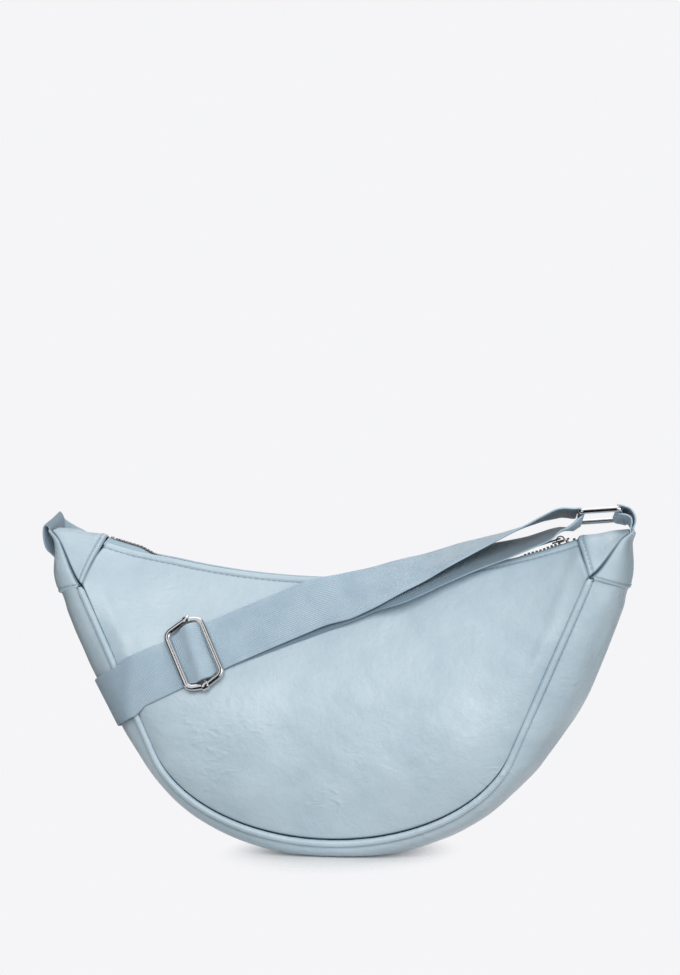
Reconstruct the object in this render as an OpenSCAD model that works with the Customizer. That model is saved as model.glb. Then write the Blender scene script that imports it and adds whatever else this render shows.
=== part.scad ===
// Crescent shoulder bag in soft sheet material, with a curved zip, a webbing strap, a bent-wire
// adjuster and a wire ring on the right tab.
// Millimetres. The bag stands on its flat bottom at z = 0, with its front towards -y.

/* [Bag outline] */
// Half width of the round lower part of the side seam
arc_w = 124; // [90:1:160]
// Height of the round lower part of the side seam
arc_h = 78; // [50:1:110]
// Height of the side seam above the floor at its middle
seam_low = 11; // [8:0.5:16]
// Half width between the points where side seam and corner patches meet
corner_x = 171; // [140:1:210]
// Height of those corner points
corner_z = 184; // [150:1:220]
// Half width of the mouth, from its middle to a zip end
mouth_x = 161; // [130:1:200]
// Height of the mouth at its middle
mouth_low = 184.5; // [150:0.5:220]
// Drop of the mouth from its ends to its middle
mouth_sag = 25.5; // [12:0.5:40]
// Half width of the mouth, from front edge to zip line
mouth_half = 9; // [8:0.5:14]
// Half width of the bag at the slots for the tabs
tab_x = 195.8; // [170:0.1:240]
// Height of the slots for the tabs
tab_z = 216; // [180:0.5:250]
// Half length of a tab slot, front to back
tab_half = 18.2; // [18:0.1:24]

/* [Fullness] */
// Half depth of the bag at the seam in the middle of the bottom
depth_low = 40; // [30:0.5:60]
// Half depth of the bag at the corner points
depth_corner = 35; // [25:0.5:50]
// Swell of the front and back panels
belly = 18; // [8:0.5:28]
// Swell of the gusset below the bag
girth_low = 13.5; // [12:0.1:20]
// Swell of the gusset where the bottom turns up
girth_turn = 10.5; // [8:0.1:20]
// Swell of the gusset on the sides
girth_side = 27; // [15:0.5:40]
// Swell of the gusset at the corner points
girth_corner = 26; // [15:0.5:40]
// Rise of the corner patch over the end of the zip
ridge_rise = 2.9; // [2.5:0.1:5]
// Rise of the corner patch above the tab slot
tab_rise = 1.8; // [0.5:0.1:4]

/* [Sheet material] */
// Thickness of the outer sheet
skin = 1.5; // [1:0.1:2.5]
// Thickness of the lining
lining_t = 0.5; // [0.3:0.1:1]
// Radius of the piping
piping_r = 2.35; // [1.5:0.05:3]
// Thickness of the piping's sewn-in flange
flange_t = 0.8; // [0.4:0.1:1.2]
// Length of the piping's sewn-in flange
flange_l = 8; // [5:0.5:12]
// Offset of the piping centre from the seam, outwards and forwards
piping_out = 1; // [0.5:0.1:2]
// Overlap of the end patch on the gusset
lap_l = 2; // [1:0.5:8]

/* [Zip] */
// Rise of the teeth above the mouth edge
zip_rise = 1; // [0.5:0.1:2]
// Distance between teeth of one row
tooth_spacing = 2.66; // [2:0.02:3.5]
// Length of a tooth along the zip
tooth_l = 1.05; // [0.6:0.05:1.3]
// Height of the teeth
tooth_h = 2.4; // [1.5:0.1:3]
// Reach of a tooth past the middle of the zip
tooth_reach = 1.15; // [0.6:0.05:1.5]
// Half width of the row of teeth
tooth_root = 2.6; // [2:0.1:3.5]
// Width of the bead that carries a row of teeth
bead_w = 0.9; // [0.5:0.1:1.2]
// Thickness of the zip tape
tape_t = 0.6; // [0.3:0.1:1]
// Distance of the slider from the middle of the zip when shut
slider_x = 150; // [100:1:152]
// Distance of the end stops from the middle of the zip
stop_x = 158.6; // [120:0.1:180]
// Length of the end stops along the zip
stop_l = 1.6; // [1:0.1:3]
// Half width of the slider
slider_half = 4.1; // [3.5:0.1:6]
// Distance between the round ends of the slider
slider_l = 3.8; // [3:0.1:8]
// Thickness of the slider plates
slider_t = 1.1; // [0.8:0.1:2]
// Thickness of the slider's side walls
slider_wall = 1; // [0.6:0.1:1.5]
// Outer radius of the slider's bail
bail_r = 3; // [2.5:0.1:5]
// Thickness of the slider's bail
bail_t = 0.8; // [0.5:0.1:1.5]
// Width of the slider's bail
bail_w = 1.6; // [1:0.1:2.5]
// Length of the puller from its cross bar
puller_l = 26; // [18:0.5:40]
// Half width of the puller
puller_half = 3.4; // [2.5:0.1:6]
// Thickness of the puller
puller_t = 1.1; // [0.8:0.1:2]
// Length of the opening in the puller
puller_hole = 4.6; // [4:0.1:8]

/* [Strap] */
// Width of the webbing
web_w = 35; // [25:0.5:36]
// Thickness of the webbing
web_t = 1.3; // [0.8:0.1:2]
// Place of the adjuster along the bag
strap_x = -92.5; // [-110:0.5:-60]
// Height of the adjuster
strap_z = 132.5; // [100:0.5:150]
// Place along the bag where the strap starts to leave the panel
leave_x = -12; // [-30:0.5:0]
// Radius of the long curve of the strap across the front
strap_radius = 1850; // [1000:10:4000]
// Half spacing of the fold in the webbing behind the bag
fold_r = 2; // [1.2:0.1:4]

/* [Wire ring and adjuster] */
// Radius of the wire
wire_r = 1.7; // [1.2:0.1:2.5]
// Radius of the bends in the wire, at its centre
bend_radius = 3.2; // [2.5:0.1:6]
// Play of the webbing beside each side bar of the ring
ring_play = 1.1; // [0.4:0.1:4]
// Distance between the long bars of the ring
ring_gap = 27; // [20:0.5:40]
// Place of the ring's left bar along the bag
ring_x = 160; // [140:0.5:170]
// Height of the ring's left bar above the top of the bag's ends
ring_rise = 9.9; // [6:0.1:20]
// Play of the webbing beside each short side of the adjuster
adjuster_play = 0.4; // [0.3:0.1:3]
// Outward kink of the adjuster's short sides
adjuster_kink = 3; // [1.5:0.1:5]
// Distance of the outer bars from the middle bar of the adjuster
adjuster_gap = 12.5; // [10:0.5:20]
// Outer radius of the collars on the middle bar
collar_r = 3; // [2.4:0.1:4]
// Length of the collars on the middle bar
collar_l = 3.2; // [2:0.1:5]

/* [Clearances] */
// Gap along seams and between layers of sheet
seam_gap = 0.3; // [0.2:0.05:0.6]
// Gap between layers of webbing and what they touch
web_gap = 0.35; // [0.25:0.05:0.6]
// Gap between sliding and turning metal parts
metal_gap = 0.25; // [0.15:0.05:0.5]

/* [Hidden] */
fine = 40;
step = 0.001;
overrun = 0.02;
slope_lean = 104;
pitch_lean = 5;
arc_share = 0.54;
arc_turn = 74;
belly_skew = 0.75;
strap_rise = 0.438;
puller_droop = 1.5;
panel_h = mouth_low - seam_low;
mouth_r = (mouth_x * mouth_x + mouth_sag * mouth_sag) / (2 * mouth_sag);
arc_z = mouth_low + mouth_r;
zip_r = mouth_r - zip_rise;
slider_deg = asin(slider_x / mouth_r);
channel_h = tooth_h / 2 + metal_gap;
rim_out = piping_out + piping_r + seam_gap;
lining_in = skin + 2 * seam_gap;
layer = web_t + web_gap;
web_lift = web_gap + web_t / 2;
loop_r = wire_r + web_gap + web_t / 2;
ring_half = web_w / 2 + wire_r + ring_play;
adjuster_half = web_w / 2 + wire_r + adjuster_play;
adjuster_peak = adjuster_half + adjuster_kink;

// Curve and vector helpers
function mix(a, b, u) = a + (b - a) * u;
function ramp(a, b, x) = let (u = max(0, min(1, (x - a) / (b - a)))) u * u * (3 - 2 * u);
function unit(v) = v / norm(v);
function flat(lists) = [for (part = lists) for (item = part) item];
function knot(p, i) = p[max(0, min(len(p) - 1, i))];
function curve_at(a, b, c, d, u) =
    (2 * b + (c - a) * u + (2 * a - 5 * b + 4 * c - d) * u * u + (3 * b - a - 3 * c + d) * u * u * u) / 2;
function spline(p, n) = [
    for (i = [0:len(p) - 2]) for (k = [0:n - 1])
        curve_at(knot(p, i - 1), p[i], p[i + 1], knot(p, i + 2), k / n),
    p[len(p) - 1]
];

// Side seam: round at the bottom, then straight up to the corner point; t runs from -1 to 1
function seam(t) =
    let (
        u = abs(t),
        p = min(u / arc_share, 1) * arc_turn,
        v = max(0, (u - arc_share) / (1 - arc_share)),
        x = mix(arc_w * sin(p), corner_x, v),
        z = mix(seam_low + arc_h * (1 - cos(p)), corner_z, v)
    ) [(t < 0 ? -1 : 1) * x, z];
function seam_out(t) = let (d = seam(t + step) - seam(t - step)) unit([d[1], -d[0]]);
function seam_depth(t) = mix(depth_low, depth_corner, ramp(0.3, 1, abs(t)));
function mouth_z(x) = arc_z - sqrt(mouth_r * mouth_r - x * x);
function mouth_at(t) = let (x = seam(t)[0] * mouth_x / corner_x) [x, mouth_z(x)];
function ruling(t) = norm(mouth_at(t) - seam(t));

// Front panel: straight rulings from seam to mouth, with a swell towards the front
function panel(t, v) =
    let (
        p = mix(seam(t), mouth_at(t), v),
        swell = belly * ruling(t) / panel_h * sin(180 * pow(max(v, 0), belly_skew))
    ) [p[0], -mix(seam_depth(t), mouth_half, v) - swell, p[1]];
function panel_out(t, v) =
    unit(cross(panel(t + step, v) - panel(t - step, v), panel(t, v + step) - panel(t, v - step)));
function panel_rows(t_end, nt, inset, v_end, nv) = [
    for (i = [0:nt]) let (t = mix(-t_end, t_end, i / nt), v_start = inset / ruling(t))
        [for (j = [0:nv]) panel(t, mix(v_start, v_end, j / nv))]
];

// Place on the front panel below a given x and z
function side_of(t, x, z) =
    let (a = seam(t), b = mouth_at(t)) (b[0] - a[0]) * (z - a[1]) - (b[1] - a[1]) * (x - a[0]);
function find_t(x, z, lo, hi, n) =
    let (m = (lo + hi) / 2) n == 0 ? m : side_of(m, x, z) > 0 ? find_t(x, z, lo, m, n - 1) : find_t(x, z, m, hi, n - 1);
function panel_tv(x, z) =
    let (t = find_t(x, z, -1, 1, 18), a = seam(t), b = mouth_at(t), r = b - a)
    [t, max(0.02, min(0.98, ([x, z] - a) * r / (r * r)))];
function on_front(x, z, lift) =
    let (q = panel_tv(x, z), p = panel(q[0], q[1]), n = panel_out(q[0], q[1])) [p + n * lift, n];
function on_back(x, z, lift) = let (f = on_front(x, z, lift)) [
    [f[0][0], -f[0][1], f[0][2]],
    [f[1][0], -f[1][1], f[1][2]]
];

// Gusset: a full curve from seam to seam, flat where it meets the floor
function girth(t) =
    let (u = abs(t)) mix(girth_low, girth_turn, ramp(0.05, 0.3, u))
        + (girth_side - girth_turn) * ramp(0.42, 0.75, u) + (girth_corner - girth_side) * ramp(0.8, 1, u);
function fullness(t) = mix(3.2, 2.2, ramp(0.1, 0.6, abs(t)));
function rim_turn(out, e, n) = acos(pow(min(1, out / e), n / 2));
function bow(side, half, swell, n, out, w) =
    let (
        a = w * rim_turn(out, norm(swell), n),
        f = pow(cos(a), 2 / n),
        s = (w < 0 ? -1 : 1) * pow(abs(sin(a)), 2 / n)
    ) [side[0] + swell[0] * f, half * s, max(0, side[1] + swell[1] * f)];
function gusset_at(t, w, out) =
    bow(seam(t), seam_depth(t), seam_out(t) * girth(t), fullness(t), out, w);

// Corner patch: from the side seam over the ridge; a runs from the zip end to the tab
function side_seam(a) = [
    mix(corner_x, tab_x, a),
    -mix(depth_corner, tab_half, a),
    mix(corner_z, tab_z, mix(a, ramp(0, 1, a), 0.6))
];
function hem_line(a) = [
    mix(mouth_x, tab_x, a),
    -mouth_half,
    mix(mouth_z(mouth_x), tab_z + tab_rise / 2, a)
];
function ridge(a) = [hem_line(a)[0], 0, mix(mouth_z(mouth_x) + ridge_rise, tab_z + tab_rise, a)];
function patch_front(a, b) =
    let (s = side_seam(a), h = hem_line(a), r = ridge(a), l = norm([h[0] - s[0], h[2] - s[2]]))
    b <= 1
        ? mix(s, h, b) - [0, belly * l / panel_h * sin(180 * pow(b, belly_skew)), 0]
        : [h[0], mix(h[1], r[1], b - 1), mix(h[2], r[2], sin(90 * (b - 1)))];
function patch_at(a, b) =
    b <= 2 ? patch_front(a, b) : let (p = patch_front(a, 4 - b)) [p[0], -p[1], p[2]];

// End patch: laps the gusset below the corner points and narrows to the tab
function end_side(a) =
    let (s = side_seam(a)) [s[0] + (layer * 2 + 2 * seam_gap) * ramp(0.75, 1, a), s[2]];
function end_at(a, w) =
    a <= 0
        ? gusset_at(1 + a, w, rim_out)
        : bow(
            end_side(a),
            mix(depth_corner, tab_half, a),
            seam_out(1) * girth_corner * mix(1, 0.08, pow(a, 1.5)),
            fullness(1),
            mix(rim_out, seam_gap, ramp(0, 0.15, a)),
            w
        );

// Solid between two offsets of a grid of points; positive offsets follow the grid's own normal
function offset_grid(g, d) = [
    for (i = [0:len(g) - 1]) [
        for (j = [0:len(g[0]) - 1])
            let (
                along = g[min(i + 1, len(g) - 1)][j] - g[max(i - 1, 0)][j],
                over = g[i][min(j + 1, len(g[0]) - 1)] - g[i][max(j - 1, 0)],
                n = cross(along, over)
            ) g[i][j] + n / norm(n) * (is_list(d) ? d[i] : d)
    ]
];
module sheet(g, hi, lo) {
    n = len(g);
    m = len(g[0]);
    k = n * m;
    polyhedron(
        points = flat(concat(offset_grid(g, hi), offset_grid(g, lo))),
        faces = flat([
            for (i = [0:n - 2]) for (j = [0:m - 2])
                let (a = i * m + j, b = a + 1, c = a + m + 1, d = a + m)
                [[a, b, c], [a, c, d], [k + a, k + c, k + b], [k + a, k + d, k + c]],
            for (i = [0:n - 2]) let (a = i * m, d = a + m) [[a, d, k + d], [a, k + d, k + a]],
            for (i = [0:n - 2]) let (a = i * m + m - 1, d = a + m) [[a, k + d, d], [a, k + a, k + d]],
            for (j = [0:m - 2]) [[j, k + j + 1, j + 1], [j, k + j, k + j + 1]],
            for (j = [0:m - 2]) let (a = (n - 1) * m + j) [[a, a + 1, k + a + 1], [a, k + a + 1, k + a]]
        ]),
        convexity = 6
    );
}

// Solid through a list of rings with the same number of points
module loft(rings) {
    n = len(rings);
    m = len(rings[0]);
    polyhedron(
        points = flat(rings),
        faces = concat(
            [[for (j = [0:m - 1]) j], [for (j = [m - 1:-1:0]) (n - 1) * m + j]],
            flat([
                for (i = [0:n - 2]) for (j = [0:m - 1])
                    let (a = i * m + j, b = i * m + (j + 1) % m) [[a, b + m, b], [a, a + m, b + m]]
            ])
        ),
        convexity = 6
    );
}

// Webbing along rows of [centre, face normal]
function way(rows, i) = unit(knot(rows, i + 1)[0] - knot(rows, i - 1)[0]);
function faced(points, acrosses) = [
    for (i = [0:len(points) - 1])
        let (t = unit(knot(points, i + 1) - knot(points, i - 1))) [points[i], cross(t, acrosses[i])]
];
module webbing(rows, first, last) {
    loft([
        for (i = [first:last])
            let (
                t = way(rows, i),
                a = unit(cross(rows[i][1], t)) * web_w / 2,
                n = unit(cross(t, a)) * web_t / 2,
                c = rows[i][0]
            ) [c + a + n, c - a + n, c - a - n, c + a - n]
    ]);
}
function turned(table, n) = let (s = spline(table, n)) faced(
    [for (r = s) [r[0], r[1], r[2]]],
    [for (r = s) [0, sin(r[3]), cos(r[3])]]
);

// Front, back and gusset
module front_panel() {
    color("LightSteelBlue")
        sheet(panel_rows(1 - 2 * seam_gap / ruling(0), 32, rim_out - piping_out, 1, 8), 0, -skin);
}
module back_panel() {
    mirror([0, 1, 0]) front_panel();
}
module gusset() {
    color("LightSteelBlue")
        sheet([
            for (i = [0:40]) [for (j = [0:10]) gusset_at(mix(-0.998, 0.998, i / 40), 1 - j / 5, rim_out)]
        ], 0, -skin);
}
module front_lining() {
    color("Gainsboro")
        sheet(panel_rows(0.96, 20, rim_out + flange_t, 0.9, 6), -lining_in, -lining_in - lining_t);
}
module back_lining() {
    mirror([0, 1, 0]) front_lining();
}
module gusset_lining() {
    color("Gainsboro")
        sheet([
            for (i = [0:26]) [
                for (j = [0:10]) gusset_at(mix(-0.94, 0.94, i / 26), 1 - j / 5, rim_out + 2 * skin)
            ]
        ], -lining_in - seam_gap, -lining_in - seam_gap - lining_t);
}

// Piping with its flange
function piping_ring(t) =
    let (
        s = seam(t),
        o = seam_out(t),
        c = [s[0] + o[0] * piping_out, -seam_depth(t) - piping_out, s[1] + o[1] * piping_out],
        front = [0, -1, 0],
        out = [o[0], 0, o[1]]
    ) concat(
        [for (k = [0:7]) let (a = mix(-150, 150, k / 7)) c + piping_r * (front * cos(a) + out * sin(a))],
        [
            for (q = [[-piping_r, 1], [-piping_r - flange_l, 1], [-piping_r - flange_l, -1], [-piping_r, -1]])
                c + front * q[0] + out * q[1] * flange_t / 2
        ]
    );
module front_piping() {
    color("SteelBlue") loft([for (i = [0:44]) piping_ring(mix(-0.985, 0.985, i / 44))]);
}
module back_piping() {
    mirror([0, 1, 0]) front_piping();
}

// Corner and end patches
module right_corner() {
    share = seam_gap / ruling(1);
    color("LightBlue")
        sheet([
            for (i = [0:6])
                let (
                    a = mix(3 * share, 1 - share, i / 6),
                    rim = (skin + 2 * seam_gap) / norm(hem_line(a) - side_seam(a)),
                    half = [rim, mix(rim, 1, 0.25), mix(rim, 1, 0.5), mix(rim, 1, 0.75), 1, 4 / 3, 5 / 3]
                ) [for (b = concat(half, [2], [for (k = [6:-1:0]) 4 - half[k]])) patch_at(a, b)]
        ], 0, -skin);
}
module left_corner() {
    mirror([1, 0, 0]) right_corner();
}
module right_end() {
    lap = lap_l / norm(seam(1) - seam(1 - step)) * step;
    places = [-lap, -lap / 2, 0, 0.08, 0.18, 0.3, 0.45, 0.6, 0.75, 0.88, 1];
    lifts = [for (a = places) (skin + seam_gap) * (1 - ramp(0.02, 0.4, a))];
    color("LightBlue")
        sheet([for (a = places) [for (j = [0:10]) end_at(a, 1 - j / 5)]], lifts, [for (l = lifts) l - skin]);
}
module left_end() {
    mirror([1, 0, 0]) right_end();
}

// Zip: tapes, teeth, stops, slider and puller
module zip_tape_front() {
    tape_end = 1 - 3 * seam_gap / ruling(0);
    color("LightSlateGray")
        sheet([
            for (i = [0:24])
                let (
                    t = mix(-tape_end, tape_end, i / 24),
                    m = mouth_at(t),
                    inside = skin + seam_gap
                ) [
                    [m[0], -tooth_root - seam_gap / 2, m[1] + zip_rise + tape_t / 2],
                    [m[0], -(tooth_root + mouth_half - skin) / 2, m[1] + zip_rise],
                    panel(t, 0.965) - panel_out(t, 0.965) * inside,
                    panel(t, 0.92) - panel_out(t, 0.92) * inside
                ]
        ], tape_t, 0);
}
module zip_tape_back() {
    mirror([0, 1, 0]) zip_tape_front();
}
module on_zip(deg) {
    translate([0, 0, arc_z]) rotate([0, deg, 0]) translate([0, 0, -zip_r]) children();
}
module teeth(first) {
    pitch_deg = tooth_spacing / zip_r * 180 / PI;
    end_deg = asin((stop_x - stop_l) / mouth_r);
    count = floor((end_deg + slider_deg) / pitch_deg);
    span = end_deg + slider_deg;
    for (k = [0:count - 1])
        on_zip(end_deg - (k + first) * pitch_deg)
            translate([-tooth_l / 2, -tooth_root, -tooth_h / 2])
                cube([tooth_l, tooth_root + tooth_reach, tooth_h]);
    translate([0, 0, arc_z])
        rotate([0, 90 - slider_deg, 0])
            rotate([-90, 0, 0])
                rotate_extrude(angle = span, $fn = 360)
                    translate([zip_r - tape_t / 2, -tooth_root])
                        square([tape_t, bead_w]);
}
module zip_teeth_front() {
    color("Silver") teeth(0.6);
}
module zip_teeth_back() {
    color("Silver") mirror([0, 1, 0]) teeth(1.1);
}
module zip_bottom_stop() {
    color("Silver")
        on_zip(asin(stop_x / mouth_r))
            translate([-stop_l / 2, -tooth_root, -tooth_h / 2])
                cube([stop_l, 2 * tooth_root, tooth_h]);
}
module zip_front_stop() {
    color("Silver")
        on_zip(-asin(stop_x / mouth_r))
            translate([-stop_l / 2, -tooth_root, -tooth_h / 2])
                cube([stop_l, tooth_root - metal_gap, tooth_h]);
}
module zip_back_stop() {
    mirror([0, 1, 0]) zip_front_stop();
}
module capsule(length, radius, height) {
    for (x = [-length / 2, length / 2])
        translate([x, 0, 0]) cylinder(r = radius, h = height, $fn = fine);
    translate([-length / 2, -radius, 0]) cube([length, 2 * radius, height]);
}
module zip_slider() {
    wall_h = channel_h - tape_t / 2 - 2 * metal_gap;
    color("Gainsboro")
        on_zip(-slider_deg) {
            for (side = [0, 1]) mirror([0, 0, side]) {
                translate([0, 0, channel_h]) capsule(slider_l, slider_half, slider_t);
                for (hand = [0, 1]) mirror([0, hand, 0])
                    translate([-slider_l / 2, slider_half - slider_wall, channel_h - wall_h])
                        cube([slider_l, slider_wall, wall_h + slider_t]);
            }
            translate([slider_l / 2 + slider_half / 2, 0, -channel_h - slider_t / 2])
                cylinder(r = slider_wall, h = 2 * channel_h + slider_t, $fn = fine);
            translate([0, bail_w / 2, channel_h + slider_t])
                rotate([90, 0, 0])
                    intersection() {
                        difference() {
                            cylinder(r = bail_r, h = bail_w, $fn = fine);
                            translate([0, 0, -bail_w]) cylinder(r = bail_r - bail_t, h = 3 * bail_w, $fn = fine);
                        }
                        translate([-2 * bail_r, -slider_t / 2, -bail_w]) cube([4 * bail_r, 2 * bail_r, 3 * bail_w]);
                    }
        }
}
module zip_puller() {
    leg = puller_half - bail_w / 2 - metal_gap;
    color("Silver")
        on_zip(-slider_deg)
            translate([0, 0, channel_h + slider_t + puller_t])
                rotate([0, -puller_droop, 0])
                    difference() {
                        union() {
                            rotate([90, 0, 0]) translate([0, 0, -puller_half])
                                cylinder(d = puller_t, h = 2 * puller_half, $fn = fine);
                            translate([-puller_l + puller_half, -puller_half, -puller_t / 2])
                                cube([puller_l - puller_half, 2 * puller_half, puller_t]);
                            translate([-puller_l + puller_half, 0, -puller_t / 2])
                                cylinder(r = puller_half, h = puller_t, $fn = fine);
                        }
                        translate([-puller_hole - puller_t / 2, leg - puller_half, -puller_t])
                            cube([puller_hole, 2 * (puller_half - leg), 2 * puller_t]);
                    }
}

// Bent wire in a flat closed loop, corners given anticlockwise
module bent_wire(corners, bend, radius) {
    n = len(corners);
    for (i = [0:n - 1]) {
        p = corners[i];
        q = corners[(i + 1) % n];
        back = unit(corners[(i + n - 1) % n] - p);
        on = unit(q - p);
        after = unit(corners[(i + 2) % n] - q);
        turn = 180 - acos(back * on);
        next_turn = 180 - acos(-on * after);
        cut = bend * tan(turn / 2);
        hub = p + unit(back + on) * bend / cos(turn / 2);
        from = p + back * cut - hub;
        translate(hub)
            rotate([0, 0, atan2(from[1], from[0])])
                rotate_extrude(angle = turn, $fn = fine)
                    translate([bend, 0]) circle(r = radius, $fn = fine);
        translate(p + on * (cut - overrun))
            rotate([0, 90, atan2(on[1], on[0])])
                cylinder(r = radius, h = norm(q - p) - cut - bend * tan(next_turn / 2) + 2 * overrun, $fn = fine);
    }
}
module in_frame(at, u, v, w) {
    multmatrix([
        [u[0], v[0], w[0], at[0]],
        [u[1], v[1], w[1], at[1]],
        [u[2], v[2], w[2], at[2]],
        [0, 0, 0, 1]
    ]) children();
}

// Ring frame: origin on the left bar, u across the ring, v along its bars
ring_z = tab_z + ring_rise;
ring_at = [ring_x, 0, ring_z];
ring_v = [0, sin(slope_lean), cos(slope_lean)];
ring_u = unit(cross(ring_v, cross([cos(pitch_lean), 0, sin(pitch_lean)], ring_v)));
ring_w = cross(ring_u, ring_v);
function ring_point(u, h) = ring_at + ring_u * u + ring_w * h;
module strap_ring() {
    color("Silver")
        in_frame(ring_at, ring_u, ring_v, ring_w)
            bent_wire([
                [0, -ring_half],
                [ring_gap, -ring_half],
                [ring_gap, ring_half],
                [0, ring_half]
            ], bend_radius, wire_r);
}
module right_tab() {
    inner = tab_x + seam_gap + web_t / 2 + seam_gap / 2;
    outer = inner + layer;
    top = ring_point(ring_gap, loop_r);
    foot = ring_point(ring_gap, -loop_r);
    slot = tab_z + tab_rise / 2 + seam_gap;
    way_in = spline([
        [inner, 0, slot],
        [inner, 0, tab_z + tab_rise],
        [mix(inner, foot[0], 0.4), 0, mix(tab_z + tab_rise, foot[2], 0.75)],
        foot
    ], 3);
    way_out = spline([
        top,
        [mix(top[0], outer, 0.75), 0, mix(top[2], tab_z, 0.18)],
        [outer, 0, mix(top[2], tab_z, 0.6)],
        [outer, 0, tab_z + tab_rise],
        [outer, 0, slot]
    ], 3);
    around = [
        for (a = [-112.5:-22.5:-247.5])
            ring_at + ring_u * (ring_gap + loop_r * cos(a)) + ring_w * loop_r * sin(a)
    ];
    points = concat(way_in, around, way_out);
    span = tab_z - top[2];
    rows = faced(points, [for (p = points) mix(ring_v, [0, 1, 0], ramp(0.4, 1, (p[2] - top[2]) / span))]);
    color("CadetBlue") webbing(rows, 0, len(rows) - 1);
}

// Strap line across the front panel and the adjuster's own frame on it
function strap_line(x) =
    strap_z + strap_rise * (x - strap_x) - (x - strap_x) * (x - strap_x) / (2 * strap_radius);
function on_line(x, drop, lift) = on_front(x, strap_line(x) - drop, lift);
adjuster_seat = on_line(strap_x, 0, 0);
adjuster_w = adjuster_seat[1];
line_way = on_line(strap_x + adjuster_gap, 0, 0)[0] - on_line(strap_x - adjuster_gap, 0, 0)[0];
adjuster_u = unit(line_way - adjuster_w * (line_way * adjuster_w));
adjuster_v = cross(adjuster_w, adjuster_u);
left_h = web_lift + web_t / 2 + web_gap + wire_r;
right_h = left_h + layer;
bar_h = (left_h + right_h) / 2;
frame_lean = atan2(right_h - left_h, 2 * adjuster_gap);
module at_adjuster() {
    in_frame(adjuster_seat[0] + adjuster_w * bar_h, adjuster_u, adjuster_v, adjuster_w)
        rotate([0, -frame_lean, 0])
            children();
}
module adjuster_frame() {
    corners = [
        [-adjuster_gap, -adjuster_half],
        [0, -adjuster_peak],
        [adjuster_gap, -adjuster_half],
        [adjuster_gap, adjuster_half],
        [0, adjuster_peak],
        [-adjuster_gap, adjuster_half]
    ];
    color("Silver")
        at_adjuster()
            for (i = [0:5]) {
                p = corners[i];
                way_on = corners[(i + 1) % 6] - p;
                translate(p) {
                    sphere(r = wire_r * 1.01, $fn = fine);
                    rotate([0, 90, atan2(way_on[1], way_on[0])])
                        cylinder(r = wire_r, h = norm(way_on), $fn = fine);
                }
            }
}
module adjuster_bar() {
    reach = adjuster_peak - metal_gap;
    bore = wire_r + metal_gap + web_gap / 2;
    color("Silver")
        at_adjuster() {
            rotate([90, 0, 0]) translate([0, 0, -reach + (bore + collar_r) / 2])
                cylinder(r = wire_r, h = 2 * reach - bore - collar_r, $fn = fine);
            for (hand = [-1, 1])
                translate([-collar_l / 2, hand * reach, 0])
                    rotate([0, 90, 0])
                        difference() {
                            cylinder(r = collar_r, h = collar_l, $fn = fine);
                            translate([0, 0, -collar_l]) cylinder(r = bore, h = 3 * collar_l, $fn = fine);
                        }
        }
}
function adjuster_path(points) = faced(
    [for (q = points) adjuster_seat[0] + adjuster_u * q[0] + adjuster_w * q[1]],
    [for (q = points) adjuster_v]
);
function arc_points(at_h, radius, from, to, n) = [
    for (k = [0:n]) let (a = mix(from, to, k / n)) [radius * cos(a), at_h + radius * sin(a)]
];

// Webbing over and round the middle bar
hump_r = loop_r + layer;
hump_end = adjuster_gap + 2 * wire_r;
hump_rows = adjuster_path(concat(
    [[-hump_end, web_lift], [-adjuster_gap + wire_r / 2, web_lift + web_gap / 2]],
    arc_points(bar_h, hump_r, 145, 40, 6),
    [[adjuster_gap - wire_r / 2, web_lift + layer]]
));
end_rows = adjuster_path(concat(
    [[hump_end, web_lift], [adjuster_gap / 2, web_lift + web_gap / 2]],
    arc_points(bar_h, loop_r, -90, -310, 9),
    [[adjuster_gap * 0.62, web_lift + layer + web_gap]]
));

// Strap on the front: from the adjuster to the ring above, and back to the middle bar below.
// Shares: place along the bag of ring_x, depth of mouth_half, height from mouth to ring; then the lean
upper_shares = [
    [0.044, -2.22, -0.25, 28],
    [0.15, -2.05, -0.104, 40],
    [0.263, -1.62, 0.08, 52],
    [0.388, -0.89, 0.266, 62],
    [0.525, -0.56, 0.483, 71],
    [0.681, -0.17, 0.713, 84],
    [0.788, 0, 0.894, 92],
    [0.888, 0, 1.034, 99]
];
lower_shares = [
    [0.044, -2.02, -0.338, 27],
    [0.15, -1.88, -0.193, 34],
    [0.263, -1.85, -0.072, 48],
    [0.406, -1.1, 0.145, 56],
    [0.581, -0.44, 0.338, 64],
    [0.7, -0.17, 0.447, 70],
    [0.788, 0, 0.568, 76],
    [0.888, 0, 0.72, 88]
];
line_steps = 4;
span_cut = 5;
ring_near = 2 * wire_r;
ring_far = 3 * bend_radius;
over_lift = layer + web_gap;
line_start = strap_x + adjuster_u[0] * (hump_end + web_w / 4);
function line_row(x) = on_front(x, strap_line(x), web_lift);
function shifted(row, drop, lift) =
    [row[0] - unit(cross(row[1], adjuster_u)) * drop + row[1] * lift, row[1]];
function front_rows(drop, lift, shares, end) = concat(
    [
        for (k = [0:line_steps])
            let (u = k / line_steps) shifted(line_row(mix(line_start, leave_x, u)), drop * u, lift * (1 + u))
    ],
    turned(concat(
        [for (s = shares) [s[0] * ring_x, s[1] * mouth_half, mix(mouth_low, ring_z, s[2]), s[3]]],
        [[end[0], end[1], end[2], slope_lean]]
    ), 2)
);
over_rows = concat(
    [[adjuster_seat[0] + adjuster_u * hump_end + adjuster_w * (web_lift + over_lift), adjuster_w]],
    front_rows(0, over_lift, upper_shares, ring_point(-ring_far, loop_r))
);
under_rows = front_rows(2 * web_t, 0, lower_shares, ring_point(-ring_far, -loop_r));
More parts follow.
